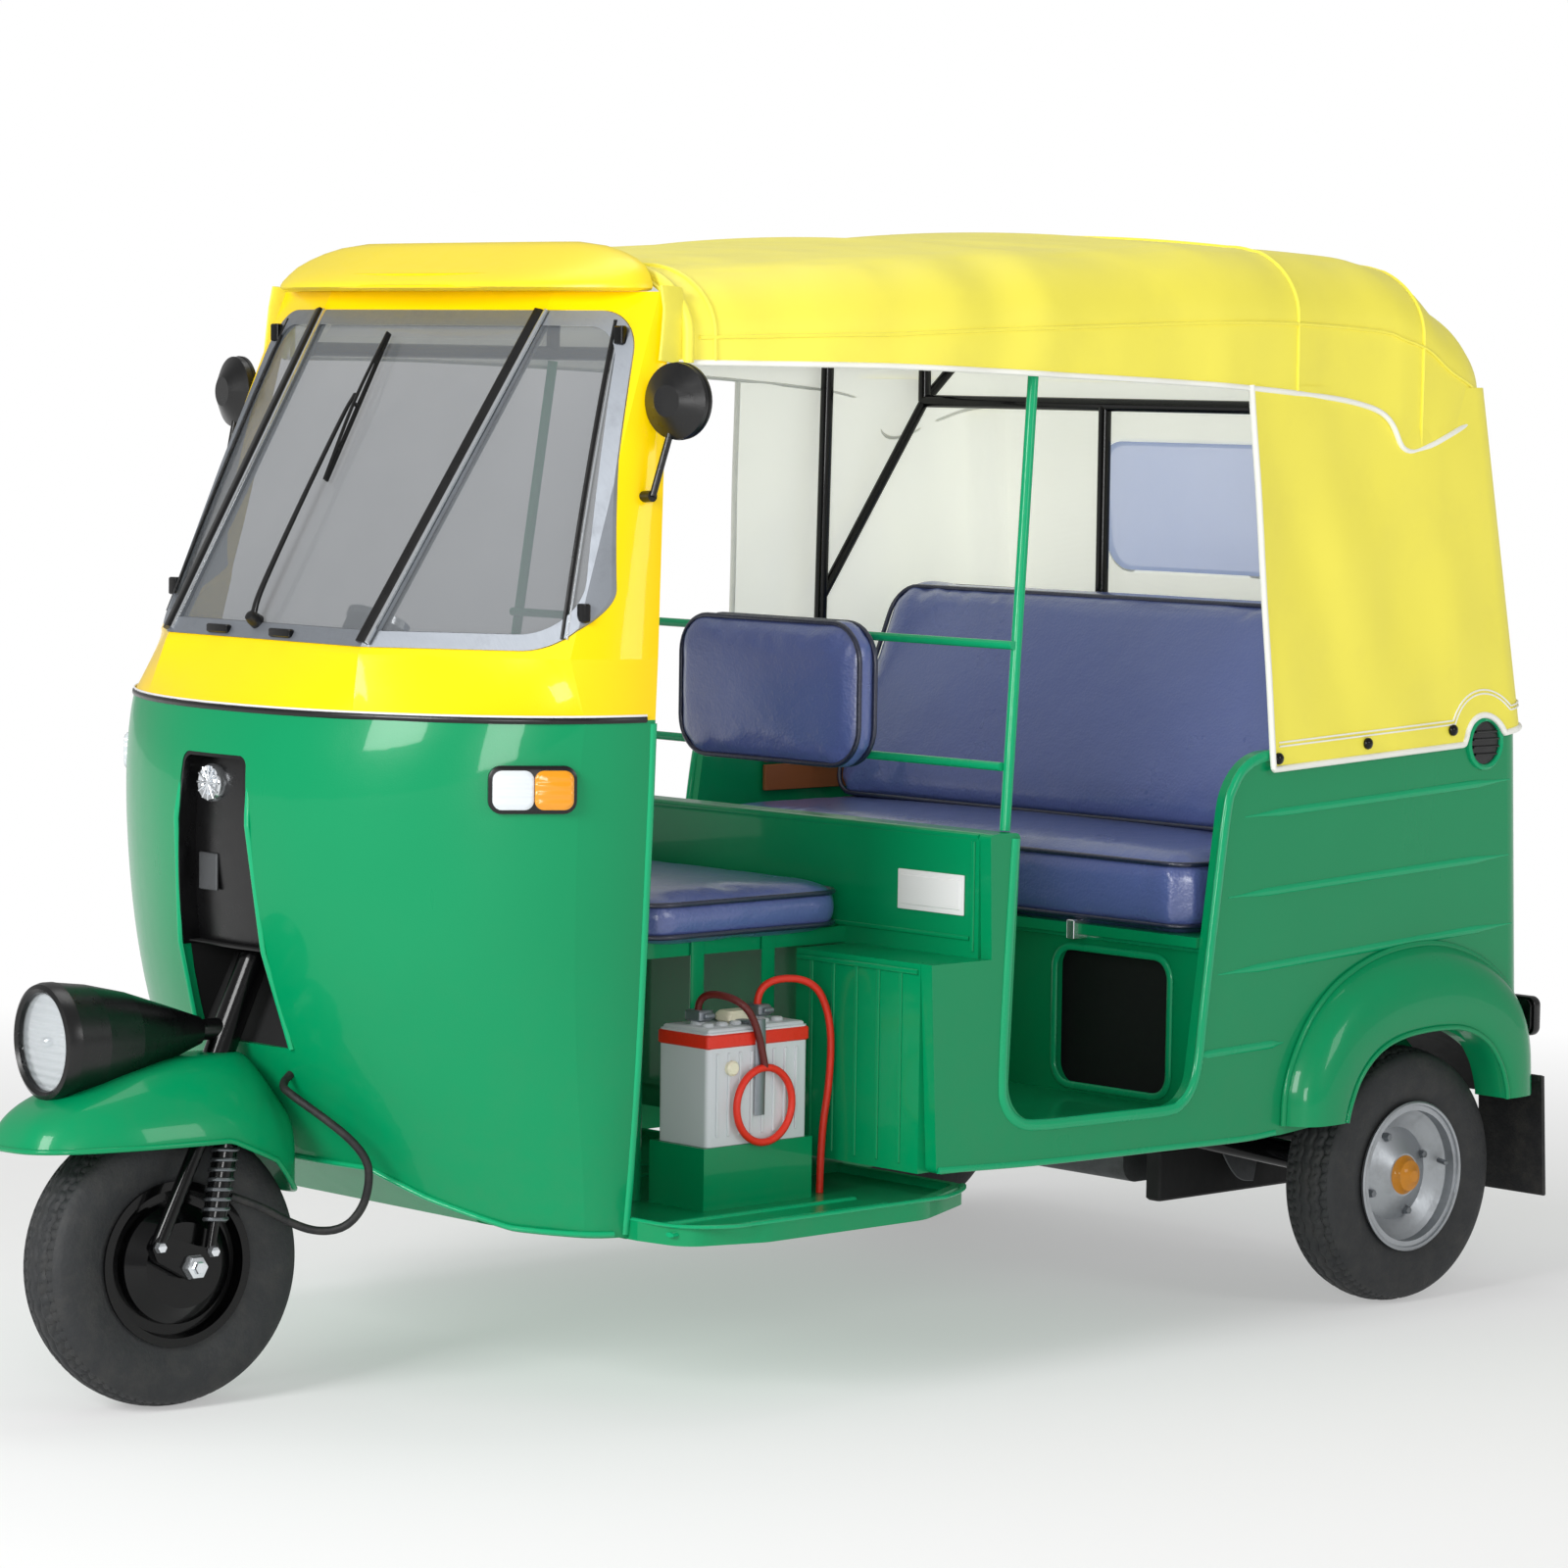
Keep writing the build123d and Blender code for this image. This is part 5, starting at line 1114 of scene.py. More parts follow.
# ---- seats -----------------------------------------------------------------------------------------------
@dataclass
class Pad:
    """A stuffed vinyl pad: a rounded block whose faces swell, with piping round it.

    Attributes:
        name: the piece's name, and node the solid it stands for.
        low, high: its lowest and highest corners before it leans.
        radius: corner radius.
        crown: how far each of x, y and z swells in the middle of its faces.
        lean: how far Y moves per unit of height.
        fill: from 0, slack, to 1, tight; not used.
        front: the side that the piping frames, as an axis number and a sign.
        cap: the furthest that stuffing moves a point.
        corner: radius of the framed side's corners.
    """

    name: str
    node: str
    low: tuple
    high: tuple
    radius: float
    crown: tuple
    lean: float = 0.0
    fill: float = 0.7
    front: tuple = (2, 1)
    cap: float = 10.0
    corner: float = 46.0

    def box(self) -> tuple[Points, Points]:
        """Half sizes and middle of the pad before it leans."""
        low, high = np.array(self.low, float), np.array(self.high, float)
        return (high - low) / 2, (high + low) / 2

    def grid(self) -> list[Patch]:
        """Six grids over a block; each point moves to its nearest point of the inner block plus the
        radius along the way between them, and then swells by the crown in the middle of each face."""
        half, middle = self.box()
        step = 9.0
        patches = []
        for axis in range(3):
            others = [k for k in range(3) if k != axis]
            counts = [max(4, int(2 * half[k] / step)) for k in others]
            ends = [np.sin(np.linspace(-pi / 2, pi / 2, n + 1)) * 0.35 + np.linspace(-1, 1, n + 1) * 0.65
                    for n in counts]
            u, v = np.meshgrid(*ends, indexing="ij")
            for sign in (-1, 1):
                flat = np.zeros((*u.shape, 3))
                flat[..., others[0]], flat[..., others[1]] = u * half[others[0]], v * half[others[1]]
                flat[..., axis] = sign * half[axis]
                patches.append(Patch(self.cornered(self.swell(flat, half), half) + middle, loop_cols=False,
                                     capped=False))
        return patches

    def cornered(self, points: Points, half: Points) -> Points:
        """Rounds the four corners of the framed face: within a corner's square, a point's way from the
        corner's centre is shortened by its larger part over its length, so a square becomes a round."""
        others = [k for k in range(3) if k != self.front[0]]
        made = points.copy()
        flat = points[..., others]
        core = np.clip(flat, -(half[others] - self.corner), half[others] - self.corner)
        way = flat - core
        large, length = np.abs(way).max(-1, keepdims=True), np.linalg.norm(way, axis=-1, keepdims=True)
        made[..., others] = core + way * large / np.maximum(length, 1e-9)
        return made

    def swell(self, flat: Points, half: Points) -> Points:
        """Rounds and crowns points of the block's faces."""
        core = np.clip(flat, -(half - self.radius), half - self.radius)
        made = core + unit(flat - core) * self.radius
        share = np.maximum(1 - (made / half) ** 2, 0) ** 0.8
        swell = share[..., (1, 0, 0)] * share[..., (2, 2, 1)]
        made = made + np.sign(flat - core) * swell * np.array(self.crown)
        near_ends = np.clip(np.abs(made[..., 1]) / half[1] - 0.7, 0, 1)
        pleat_size = 1.2
        made[..., 2] += pleat_size * np.sin(made[..., 0] / 17 + made[..., 2] / 9) * near_ends
        return made

    def leant(self, points: Points) -> Points:
        """Points moved along Y by the lean, from the pad's foot."""
        return points + (points[..., 2:] - self.low[2]) * np.array((0.0, self.lean, 0.0))

    def piping(self) -> list[Patch]:
        """Two rounded loops of piping, round the front face and the one behind it."""
        axis, sign = self.front
        half, middle = self.box()
        others = [k for k in range(3) if k != axis]
        loops = []
        for side in (sign, -sign):
            flat = rounded_rectangle(half[others[0]] - self.radius * 0.28,
                                     -half[others[1]] + self.radius * 0.28,
                                     half[others[1]] - self.radius * 0.28, self.corner, 9)
            path = np.zeros((len(flat), 3))
            path[:, others[0]], path[:, others[1]] = flat.T
            path[:, axis] = side * (half[axis] - self.radius * 0.3)
            around = np.zeros(3)
            around[axis] = 1
            loops.append(hoop(self.leant(path + middle), 260, ring(8, 8, 10), around + (0, 0.01, 0.01)))
        return loops

    def inflate(self, made: Any) -> None:
        """Blows the pad up as cloth for twenty frames, with each point held to a short way."""
        remesh = made.modifiers.new("even", "REMESH")
        remesh.mode, remesh.voxel_size = "VOXEL", 0.0087
        made.data = evaluated(made)
        made.modifiers.clear()
        rest = rows_of(made.data.vertices, "co")
        cloth = made.modifiers.new("stuffing", "CLOTH")
        settings = cloth.settings
        settings.use_pressure, settings.uniform_pressure_force = True, 4.0
        settings.effector_weights.gravity = 0.0
        settings.quality, settings.tension_stiffness, settings.bending_stiffness = 4, 20.0, 0.6
        cloth.collision_settings.use_collision = False
        last = 20
        cloth.point_cache.frame_start, cloth.point_cache.frame_end = 1, last
        scene = bpy.context.scene
        for frame in range(1, last + 1):
            scene.frame_set(frame)
        swollen = evaluated(made)
        scene.frame_set(1)
        made.modifiers.clear()
        move = rows_of(swollen.vertices, "co") - rest
        far = np.linalg.norm(move, axis=1, keepdims=True)
        move = move * np.minimum(1, self.cap * MM / np.maximum(far, 1e-9))
        made.data.vertices.foreach_set("co", (rest + move).ravel())
        made.data.polygons.foreach_set("use_smooth", np.ones(len(made.data.polygons), bool))
        made.data.update()

    def make(self) -> None:
        """Builds, stuffs and places the pad and its piping."""
        patches = [replace(patch, points=self.leant(patch.points)) for patch in self.grid()]
        made = build(self.name, patches, 180.0, 0.5)
        self.inflate(made)
        subdivide = made.modifiers.new("smooth", "SUBSURF")
        subdivide.levels = subdivide.render_levels = 1
        place(made, Body.CHASSIS, "seat_vinyl", SEAT, stands_for=[self.node])
        piece(self.name + "_piping", self.piping(), "seat_vinyl", SEAT_DARK)


# ---- cab, battery and cords ------------------------------------------------------------------------------
@dataclass
class Cab:
    """Floor ribs, locker seams, blank plate, brackets and inner boards."""

    floor: float = 261.0

    def make(self) -> None:
        """Builds and places the pieces."""
        ribs = [bar((x, -560, self.floor), (x, -140, self.floor), ring(16, 7, 12), UP)
                for x in (-480, -400, -120, -40, 40, 120, 470, 540)]
        ribs += [bar((x, -650, 268), (x, -745, 343), ring(14, 6, 12), UP) for x in (-150, -50, 50, 150)]
        edge = ((250, -634), (395, -594), (432, -560), (478, -560), (548, -550), (590, -500), (597, -430),
                (597, -120), (588, -60), (560, -8), (533, 22))
        rim_line = spline([(x, y, 273) for x, y in edge], 120)
        lips = both(sweep(rim_line, ring(11, 6, 10), UP))
        piece("floor_ribs", [*ribs, *lips], "green_paint", GREEN_HIGHLIGHT)
        seams = []
        for x in (352, 398, 446, 492, 538):
            seams += both(bar((x, -117, 320), (x, -117, 604), ring(6, 4, 8), FORWARD))
        seams += both(bar((322, -118, 600), (574, -118, 600), ring(8, 5, 8), FORWARD),
                      bar((566, -1, 622), (566, -1, 782), ring(7, 5, 8), FORWARD))
        seams += [bar((-574, 2, 788), (574, 2, 788), ring(9, 6, 8), FORWARD),
                  bar((-560, -1, 640), (560, -1, 640), ring(7, 4, 8), FORWARD)]
        for y in (-300, -160):
            seams += both(bar((303, y, 520), (303, y, 634), ring(26, 4, 12, 0.4), LEFT))
        piece("locker_seams", seams, "green_paint", GREEN)
        plate = [slab((413, -4, 672), (550, -0.5, 731), 1.5), slab((420, -5.5, 680), (543, -3, 723), 1.5)]
        piece("blank_plate", plate, "bare_aluminium", PLATE)
        clip = [slab((315, 459, 588), (331, 494, 618), 2.0), slab((-331, 459, 588), (-315, 494, 618), 2.0)]
        piece("seat_clips", clip, "bare_aluminium", CHROME)
        board = slab((-574, 640, 748), (-566, 905, 792), 2.0)
        piece("side_board", [board, slab((-574, 640, 796), (-568, 905, 862), 2.0)], "yellow_plastic", BROWN)
        frames = []
        for sign in (-1, 1):
            outline = rounded_rectangle(122, 355, 572, 34)
            path = np.column_stack([outline[:, 0] + sign * 381, np.full(len(outline), 493.5), outline[:, 1]])
            frames.append(hoop(path, 140, ring(12, 7, 10), FORWARD))
        frames.append(bar((-570, 493, 590), (570, 493, 590), ring(7, 5, 8), FORWARD))
        piece("seat_box_beads", frames, "green_paint", GREEN_HIGHLIGHT)
        # Dull black slabs behind the seat box's openings: painted shade in the recesses.
        liner = [slab((381 * sign - 150, 520, 352), (381 * sign + 150, 524, 590), 1.0) for sign in (-1, 1)]
        piece("seat_box_shade", liner, "black_plastic", SHADOW)


@dataclass
class Cord:
    """A lead or hose: a smooth line drawn by its route's points, with a round section."""

    name: str
    route: tuple
    radius: float

    def drawn(self, name: str, resolution: int) -> Any:
        """A curve object along the route, in the scene."""
        curve = bpy.data.curves.new(name, "CURVE")
        curve.dimensions, curve.resolution_u = "3D", resolution
        run = curve.splines.new("NURBS")
        run.points.add(len(self.route) - 1)
        route = np.column_stack([np.array(self.route) * MM, np.ones(len(self.route))])
        run.points.foreach_set("co", route.ravel())
        run.order_u, run.use_endpoint_u = 3, True
        return add(name, curve)

    def line(self) -> Points:
        """Points of the route's own smooth curve."""
        holder = self.drawn(self.name + "_route", 24)
        bpy.context.view_layer.update()
        mesh = evaluated(holder)
        points = rows_of(mesh.vertices, "co") / MM
        bpy.data.curves.remove(holder.data)
        bpy.data.meshes.remove(mesh)
        return points

    @staticmethod
    def length(line: Points) -> float:
        """The length of a line in metres."""
        return float(np.linalg.norm(np.diff(line, axis=0), axis=1).sum()) * MM

    def tube(self, line: Points) -> Patch:
        """The cord's round tube along its line."""
        return sweep(line, ring(2 * self.radius, 2 * self.radius, 12), (0.42, 0.83, 0.36))

    def curve(self, body: str, slot: str, finish: Finish) -> Any:
        """The cord as a round curve on a body."""
        made = self.drawn(self.name, 16)
        curve = made.data
        curve.bevel_depth, curve.bevel_resolution, curve.use_fill_caps = self.radius * MM, 5, True
        curve.materials.append(material(finish))
        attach(made, body)
        return made


@dataclass
class Battery:
    """The battery's band, lid, terminals and its two leads."""

    low: tuple = (314, -383, 351)
    high: tuple = (420, -187, 515)

    def make(self) -> None:
        """Builds and places the pieces."""
        (x0, y0, z0), (x1, y1, z1) = self.low, self.high
        band = slab((x0 - 2, y0 - 2, z1 - 24), (x1 + 2, y1 + 2, z1 - 1), 6)
        piece("battery_band", [band], "red_rubber", RED_RUBBER)
        lid = [slab((x0 + 4, y0 + 4, z1 - 2), (x1 - 4, y1 - 4, z1 + 5), 5)]
        lid += [lathe([(0, 0), (6, 0), (6, 7), (4, 9), (-1, 9), (-1, 0)], (x1 - 34, y0 + 30 + 27 * k, z1 + 4),
                      UP, 20) for k in range(6)]
        ribs = [slab((x1 - 1, y0 + 16 + 22 * k, z0 + 14), (x1 + 2.2, y0 + 21 + 22 * k, z1 - 30), 1.2)
                for k in range(8)]
        piece("battery_lid", [*lid, *ribs], "battery_case", CASE)
        cap = [(0, 0), (9, 0), (9, 8), (6, 11), (-1, 11), (-1, 0)]
        caps = [lathe(cap, (x1, y0 + 44, z0 + 112), LEFT, 20),
                slab((x0 + 30, y0 + 78, z1 + 4), (x0 + 66, y1 - 66, z1 + 22), 8)]
        piece("battery_caps", caps, "clear_plastic", CREAM)
        clamps = []
        for y in (y0 + 40, y1 - 40):
            clamps += [slab((x0 + 24, y - 13, z1 + 10), (x0 + 58, y + 13, z1 + 26), 4),
                       rod((x0 + 60, y - 6, z1 + 18), (x0 + 60, y + 12, z1 + 18), 4)]
        strap = sweep(spline([(x0 - 3, -285, z0 + 30), (x0 - 3, -285, z1 + 4), (x0 + 8, -285, z1 + 9),
                              (x1 - 8, -285, z1 + 9), (x1 + 4, -285, z1 + 3), (x1 + 4, -285, z0 + 40)], 60),
                      ring(3, 20, 8, 0.5), BACK)
        piece("battery_clamps", [*clamps, strap], "bare_aluminium", ALUMINIUM)
        self.leads()

    def leads(self) -> None:
        """The red arched lead and the lead that ends in a ring."""
        arch = Cord("battery_arch_lead",
                    ((354, -227, 539.3), (354, -227, 575), (388, -150, 578), (402, -124, 520), (404, -126, 430),
                     (400, -140, 345), (400, -140.5, 261.3)), 5.5)
        made = arch.curve(Body.CHASSIS, "red_rubber", RED_RUBBER)
        arch.length(arch.line())
        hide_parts("battery_leads")
        ring_lead = Cord("battery_ring_lead",
                         ((354, -343, 539.3), (354, -343, 568), (422, -318, 560), (430, -292, 512),
                          (430, -281, 460)), 5.5)
        made = ring_lead.curve(Body.CHASSIS, "red_rubber", DARK_LEAD)
        length = ring_lead.length(ring_lead.line())
        angle = np.linspace(0, 2 * pi, 72, endpoint=False)
        loop = np.stack([np.full(72, 430.0), -281 + 54 * np.cos(angle), 406 + 54 * np.sin(angle)], -1)
        coiled = sweep(loop, ring(11, 11, 12), LEFT, closed=True)
        coiled_piece = piece("battery_ring", [coiled], "red_rubber", RED_RUBBER)


# ---- body shell ------------------------------------------------------------------------------------------
@dataclass
class Shellwork:
    """Pressed ribs, beads, wheel arches, vents, lamps and the rear wall's trim.

    Attributes:
        half: half width of the body.
        axle: Y and height of the rear axle.
        liner: radius of the dull black liner over a rear wheel, painted shade inside the arch.
        vent: x, Y and height of the left vent's middle.
    """

    half: float = 600.0
    axle: tuple = (965, WHEEL_RADIUS)
    liner: float = 243.0
    vent: tuple = (599, 1113, 884)

    def sides(self) -> None:
        """Ribs pressed along each side and the bead round the door opening."""
        ribs = []
        size = np.clip(np.minimum(np.arange(24), np.arange(24)[::-1]) / 3.0, 0.15, 1)
        for line in (((548, 793), (1179, 823)), ((514, 672), (1181, 702)), ((494, 556), (1193, 591)),
                     ((447, 436), (647, 441))):
            path = straight((self.half, *line[0]), (self.half, *line[1]), 24)
            ribs += both(sweep(path, ring(13, 6.5, 12), LEFT, taper=size))
        door = ((640, 886), (585, 882), (545, 866), (521, 838), (508, 800), (484, 640), (465, 500), (456, 430),
                (444, 392), (420, 367), (385, 358), (250, 359), (120, 361), (70, 369), (40, 396), (33, 440),
                (40, 600), (52, 786))
        sill = ((-96, 314), (120, 306), (400, 302), (560, 300), (632, 303))
        for line, count, section in ((door, 240, ring(17, 12, 12)), (sill, 60, ring(10, 8, 10))):
            ribs += both(sweep(spline([(self.half - 1, *at) for at in line], count), section, LEFT))
        piece("side_pressings", ribs, "green_paint", GREEN_HIGHLIGHT)

    def arches(self) -> None:
        """Wheel arches: a skin drawn from its crease on the side out to the arch edge and turned in, with a
        bead along the crease, and over the wheel a dull black liner that paints the shade inside the arch."""
        crease = spline([(648, 312), (652, 366), (671, 418), (707, 473), (759, 518), (820, 547), (881, 564),
                         (944, 571), (1000, 570), (1057, 559), (1114, 538), (1164, 506), (1200, 466),
                         (1218, 410), (1224, 318)], 120)
        edge = spline([(742, 314), (750, 340), (768, 376), (796, 406), (830, 426), (873, 438), (920, 443),
                       (965, 444), (1010, 441), (1050, 430), (1086, 408), (1112, 376), (1124, 350), (1130, 330),
                       (1131, 318)], 120)
        share = np.array((0.0, 0.0, 0.03, 0.1, 0.2, 0.34, 0.5, 0.7, 0.9, 0.97, 1.0, 1.0, 1.0))
        out = np.array((-14.0, 0.0, 12.0, 27.0, 39.0, 47.0, 51.0, 53.0, 53.0, 51.0, 46.0, 20.0, -16.0))
        flat = crease[:, None] * (1 - share[None, :, None]) + edge[:, None] * share[None, :, None]
        grid = np.concatenate([np.broadcast_to(self.half + out[None, :, None], (*flat.shape[:2], 1)), flat], -1)
        skin = sheet_shell(grid, 3.0)
        bead = sweep(np.column_stack([np.full(120, self.half + 3.0), crease]), ring(12, 10, 12), LEFT)
        hem = sweep(np.column_stack([np.full(120, self.half + 51.0), edge]), ring(8, 7, 10), LEFT)
        angle = np.linspace(radians(28), radians(152), 48)
        x = np.linspace(452, 600, 12)
        wrap = np.stack(np.broadcast_arrays(x[None, :], (self.axle[0] + self.liner * np.cos(angle))[:, None],
                                            (self.axle[1] + self.liner * np.sin(angle))[:, None]), -1)
        liner = sheet_shell(wrap, 3.0)
        made = build("wheel_arches", both(skin, bead, hem), 45)
        place(made, Body.CHASSIS, "green_paint", GREEN, stands_for=["mudguards"])
        # The liners are painted shade: dull black inside the arches over the wheels.
        piece("arch_painted_shade_liners", both(liner), "black_plastic", SHADOW)

    def vents(self) -> None:
        """The round vents: a green lip round a black louvred disc."""
        x, y, _ = self.vent
        lip = lathe([(0, 34), (5, 35), (8, 39), (5, 43), (0, 44), (-4, 44), (-4, 34)], self.vent, LEFT)
        disc = lathe([(3, 0), (3, 12), (2, 33.8), (-3, 33.8), (-3, 0)], self.vent, LEFT)
        slats = [bar((x + 4, y - w, z), (x + 4, y + w, z), ring(4, 5, 8), LEFT)
                 for z, w in ((866, 26), (878, 31), (890, 31), (902, 26))]
        piece("vent_lips", both(lip), "green_paint", GREEN_HIGHLIGHT)
        piece("vent_discs", both(disc, *slats), "black_plastic", BLACK_PLASTIC)

    @staticmethod
    def lean(height: Any) -> Any:
        """Y of the rear wall at a height: it leans back towards its foot."""
        return 1214.0 + (903.0 - height) * 0.047

    def rear(self) -> None:
        """Beads on the rear wall, lamp bezels, and ribs on the mud flaps."""
        lean = self.lean
        beads = [bar((-548, lean(z), z), (548, lean(z), z), ring(12, 7, 10), BACK) for z in (872, 400)]
        for z in (560, 700):
            beads += both(bar((398, lean(z), z), (556, lean(z), z), ring(12, 6, 10), BACK))
        frame = rounded_rectangle(382, 428, 856, 20)
        path = np.column_stack([frame[:, 0], lean(frame[:, 1]), frame[:, 1]])
        beads.append(hoop(path, 160, ring(11, 8, 10), BACK))
        piece("rear_beads", beads, "green_paint", GREEN_HIGHLIGHT)
        louvres = [bar((x - 120, lean(z) - 1, z), (x + 120, lean(z) - 1, z), ring(13, 8, 10), BACK)
                   for z in range(500, 738, 34) for x in (-190, 190)]
        piece("cover_louvres", louvres, "green_paint", GREEN_HIGHLIGHT, body=Body.COVER)
        handle = [rod((-46, lean(462) + 3, 462), (46, lean(462) + 3, 462), 4.5),
                  *both(slab((40, lean(462) - 4, 454), (52, lean(462) + 4, 470), 2))]
        piece("cover_handle", handle, "bare_aluminium", CHROME, body=Body.COVER)
        bezel = rounded_rectangle(29, 409, 468, 12)
        path = np.column_stack([bezel[:, 0] + 589, np.full(len(bezel), 1240.0), bezel[:, 1]])
        rims = both(hoop(path, 80, ring(5, 16, 10, 0.6), BACK))
        piece("lamp_bezels", rims, "black_plastic", BLACK_PLASTIC)
        lens = both(slab((566, 1244, 415), (612, 1252, 462), 8))
        piece("tail_lenses", lens, "red_plastic", RED_LENS)
        ribs = []
        for x in (530, 577, 624):
            ribs += both(bar((x, 1237.5, 330), (x, 1246, 160), ring(10, 4, 8), BACK, 4))
        ribs += both(slab((516, 1226, 336), (638, 1238, 345), 2))
        piece("flap_ribs", ribs, "rubber", FLAP)

    def make(self) -> None:
        """Builds and places the pieces."""
        self.sides()
        self.arches()
        self.vents()
        self.rear()


# ---- wheels ----------------------------------------------------------------------------------------------
@dataclass
class Tyre:
    """A tyre: side walls with rings, and a tread of wavy ribs cut by sipes.

    Attributes:
        name: the piece's name, and node the solid it stands for.
        body: what it rides on, with its middle at x and y.
        turned: whether it turns with the parked steering.
        ribs: x of the lines that the tread's grooves follow.
    """

    name: str
    node: str
    body: Body
    x: float
    y: float
    turned: bool = False
    ribs: tuple = (-27, -9, 9, 27)

    def grid(self) -> Patch:
        """The section's radius and half width turned about the axle; across the tread the radius loses
        a groove's depth near each rib line, which waves with the angle, and at the sipes."""
        wall_x = np.array((42, 43, 47.5, 52, 54, 53.2, 50, 45.5, 41))
        wall_r = np.array((110, 117, 127, 141, 156, 171, 184, 191, 194))
        tread_x = np.linspace(40, -40, 41)
        tread_r = WHEEL_RADIUS - 9 * (tread_x / 41) ** 2
        x = np.concatenate([wall_x, tread_x, -wall_x[::-1]])
        r = np.concatenate([wall_r, tread_r, wall_r[::-1]])
        angle = np.linspace(0, 2 * pi, 336, endpoint=False)[:, None]
        on_tread = (np.abs(x) <= 40.5) & (r > 190)
        waves, wave_height, groove_width = 42, 2.4, 2.3
        wave = wave_height * np.sin(angle * waves)
        groove = sum(np.exp(-((x - rib - wave) / groove_width) ** 2) for rib in self.ribs)
        sipe = (np.sin(angle * 2 * waves + x / 7) > 0.72) * (np.abs(x) > 17)
        radius = r - on_tread * np.minimum(groove * 4.2 + sipe * 2.4, 4.6)
        ribs = np.where((r > 124) & (r < 186) & ~on_tread, 0.9 * np.cos(r * 0.42), 0)
        points = np.stack([np.broadcast_to(x + np.sign(x) * ribs, radius.shape), radius * np.cos(angle),
                           radius * np.sin(angle)], -1)
        return Patch(points + (self.x, self.y, WHEEL_RADIUS), loop_rows=True)

    def make(self) -> None:
        """Builds and places the tyre."""
        patches = [self.grid()]
        made = build(self.name, AXIS.turned(patches) if self.turned else patches, 50, 0.001)
        place(made, self.body, "rubber", TYRE, stands_for=[self.node])


@dataclass
class Wheels:
    """Tyres, hub caps, nuts and valves."""

    rear_x: float = 546.0
    rear_y: float = 965.0
    front_y: float = -1035.0

    def nuts(self, x: float, y: float, out: float, count: int, reach: float) -> list[Patch]:
        """Wheel nuts in a circle on a rim's face."""
        return [lathe([(0, 0), (9, 0), (8, 6), (0, 7.5), (-4, 7.5), (-4, 0)],
                      (x + out * 17, y + reach * cos(a), WHEEL_RADIUS + reach * sin(a)), (out, 0, 0), 6)
                for a in np.linspace(0.4, 2 * pi + 0.4, count, endpoint=False)]

    def rear(self, sign: int, side: str, body: Body) -> None:
        """One rear wheel's tyre, hub cap, nuts, valve and rim lip."""
        x, y, out = sign * self.rear_x, self.rear_y, (sign, 0, 0)
        Tyre(f"treaded_tyre_{side}", f"rear_tyre_{side}", body, x, y).make()
        hub = lathe([(-2, 0), (24, 0), (23, 9), (17, 15), (14, 24), (6, 27), (3, 31), (-2, 32)],
                    (sign * (self.rear_x + 32), y, WHEEL_RADIUS), out, 40)
        piece(f"hub_cap_{side}", [hub], "rim_metal", HUB, body=body)
        valve = rod((sign * (self.rear_x + 30), y + 88, 218), (sign * (self.rear_x + 52), y + 82, 216), 4)
        steel = [*self.nuts(x, y, sign, 4, 66), valve]
        piece(f"wheel_nuts_{side}", steel, "rim_metal", SPRING, body=body)
        lip = lathe([(49, 112), (52, 113), (53, 116.5), (51, 119), (47, 118), (46, 113)], (x, y, WHEEL_RADIUS),
                    out, 96, hollow=True)
        piece(f"rim_lip_{side}", [lip], "rim_metal", RIM, body=body)

    def front(self) -> None:
        """The front wheel's tyre, hub cap and nuts, and the fork's nuts."""
        y = self.front_y
        Tyre("treaded_tyre_front", "front_tyre", Body.FRONT, 0.0, y, True).make()
        cap = lathe([(-2, 0), (28, 0), (27, 12), (20, 21), (16, 27), (8, 30), (-2, 31)], (-32, y, WHEEL_RADIUS),
                    (-1, 0, 0), 40)
        piece("front_hub_cap", AXIS.turned([cap]), "rim_metal", CHROME, body=Body.FRONT)
        axle_nut = [(0.3, 0), (20, 0), (20, 8), (13, 10), (12, 16), (4, 19), (0.3, 19)]
        link_nut = [(0.3, 0), (9, 0), (8, 7), (0.3, 9)]
        places = ((axle_nut, y, WHEEL_RADIUS), (link_nut, -1088, 235), (link_nut, -1004, 222))
        nuts = [lathe(nut, (92, *at), LEFT, 6) for nut, *at in places]
        piece("fork_nuts", AXIS.turned(nuts), "rim_metal", CHROME, body=Body.STEERING)
        piece("front_wheel_nuts", AXIS.turned(self.nuts(0, y, -1, 4, 66)), "rim_metal", SPRING, body=Body.FRONT)

    def make(self) -> None:
        """Builds and places the pieces."""
        self.rear(1, "left", Body.LEFT)
        self.rear(-1, "right", Body.RIGHT)
        self.front()


